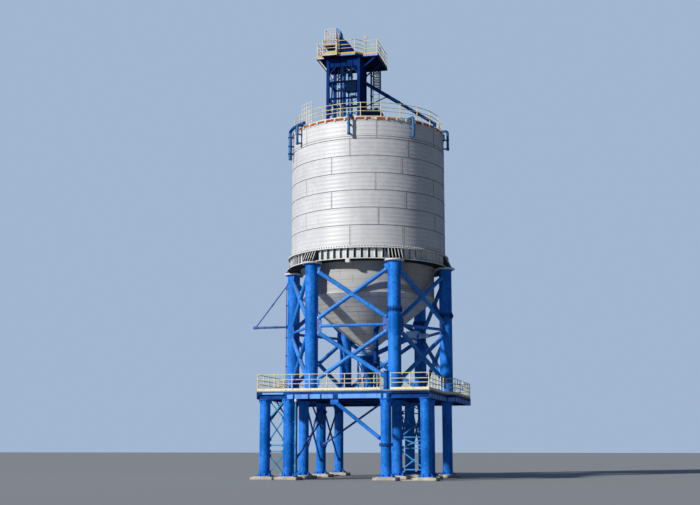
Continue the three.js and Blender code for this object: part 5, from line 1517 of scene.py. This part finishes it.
for z in (22.9, 24.0, 25.1, 26.2):
    shape.block((-0.25, -0.02, z), (0.25, -0.008, z + 0.05), 0.002)
pipe_x, pipe_y = -0.27, -0.25
pipe_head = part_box("tower_deck")[1].z - 0.15
shape.post(roof_height(x + pipe_x, y + pipe_y), pipe_head, 0.06, 14, 1, (pipe_x, pipe_y))
for z in (23.2, 24.6, 26.0):
    shape.pad(0.075, z, z + 0.05, 0.004, 1, (pipe_x, pipe_y))
    shape.block((pipe_x, pipe_y, z + 0.005), (-LADDER_HALF, 0, z + 0.045), 0.002, 1)
shape.settle("caged_ladder", [ladder_paint, navy_paint], "turquoise_paint", "tower_ladder")


# Transfer chute: a square duct in flanged lengths from the tower down to the roof's right
# edge, wide above and narrow below, where a round drop leg enters the silo.
WIDE = 0.088
NARROW_DUCT = 0.074
head, foot = Vector((RIGHT + h + 0.004, -2.84, 24.95)), Vector((4.5, -0.25, 22.64))
waist = (foot - head).length / 2
low = KERB_HEAD + 0.03
shape = Shape()
shape.bar(*along(head, foot, 0, waist - 0.05), square(WIDE))
shape.bar(along(head, foot, waist - 0.06)[0], foot, square(NARROW_DUCT))
for share, half in ((0.02, WIDE), (0.17, WIDE), (0.33, WIDE), (0.485, WIDE), (0.66, NARROW_DUCT),
                    (0.83, NARROW_DUCT)):
    for step in (0.0, 0.03):
        near = 2 * waist * share + step
        shape.bar(*along(head, foot, near, near + 0.024), square(half + 0.016))
shape.post(low, foot.z + 0.06, 0.115, 24, 0, foot.xy)
shape.post(low, low + 0.025, 0.17, 24, 0, foot.xy)
shape.tube((RIGHT + h, BACK, 23.6), head.lerp(foot, 0.34), 0.035, 12, 1)
shape.settle("transfer_duct", [dark_blue_paint, navy_paint], "blue_paint", "transfer_chute")


# The studio: a pale floor, an even pale blue surround and one soft key from the front left.
# The camera stands in front of the deck, a little to the right, at eye height.
FLOOR_HALF = 400.0
floor_mesh = bpy.data.meshes.new("studio_floor")
floor_mesh.from_pydata([(x, y, 0) for x, y in square(FLOOR_HALF)], [], [[0, 1, 2, 3]])
floor = bpy.data.objects.new("studio_floor", floor_mesh)
bpy.context.scene.collection.objects.link(floor)
pale = bpy.data.materials.new("studio_floor_pale")
pale.use_nodes = True
pale.node_tree.nodes["Principled BSDF"].inputs["Base Color"].default_value = (0.34, 0.35, 0.36, 1)
pale.node_tree.nodes["Principled BSDF"].inputs["Roughness"].default_value = 0.9
floor_mesh.materials.append(pale)

world = bpy.data.worlds.new("studio_air")
bpy.context.scene.world = world
world.use_nodes = True
air = Wire(world.node_tree)
seen = air.node("LightPath", out=0)
across = air.node("TexCoord", out=0).axis(0)
light = across.rise(-0.7, 0.9).mix((0.125, 0.185, 0.29), (0.045, 0.075, 0.13))
surround = seen.mix(light, (0.36, 0.47, 0.64))
world.node_tree.links.new(surround.socket, world.node_tree.nodes["Background"].inputs["Color"])
bpy.context.scene.view_settings.view_transform = "Standard"

AZIMUTH = radians(-130)
ELEVATION = radians(23)
lamp = bpy.data.lights.new("key", "SUN")
lamp.energy = 4.05
lamp.angle = radians(3)
lamp.color = (1.0, 0.97, 0.92)
key = bpy.data.objects.new("key", lamp)
toward = Vector((cos(AZIMUTH) * cos(ELEVATION), sin(AZIMUTH) * cos(ELEVATION), sin(ELEVATION)))
key.rotation_euler = toward.to_track_quat("Z", "Y").to_euler()
key.location = toward * 60
bpy.context.scene.collection.objects.link(key)

EYE = Vector((17.29, -70.14, 1.8))
FOCAL = 1140.0
PICTURE_WIDTH = 700.0
SENSOR = 36.0
camera = bpy.data.cameras.new("photo_view")
camera.sensor_width = SENSOR
camera.lens = SENSOR * FOCAL / PICTURE_WIDTH
eye = bpy.data.objects.new("photo_view", camera)
eye.location = EYE
low, high = cad_box
target = Vector(((low.x + high.x) / 2 - 0.2, AXIS.y, (low.z + high.z) / 2 + 0.1))
eye.rotation_euler = (EYE - target).to_track_quat("Z", "Y").to_euler()
camera.clip_end = 1000
bpy.context.scene.collection.objects.link(eye)
bpy.context.scene.camera = eye
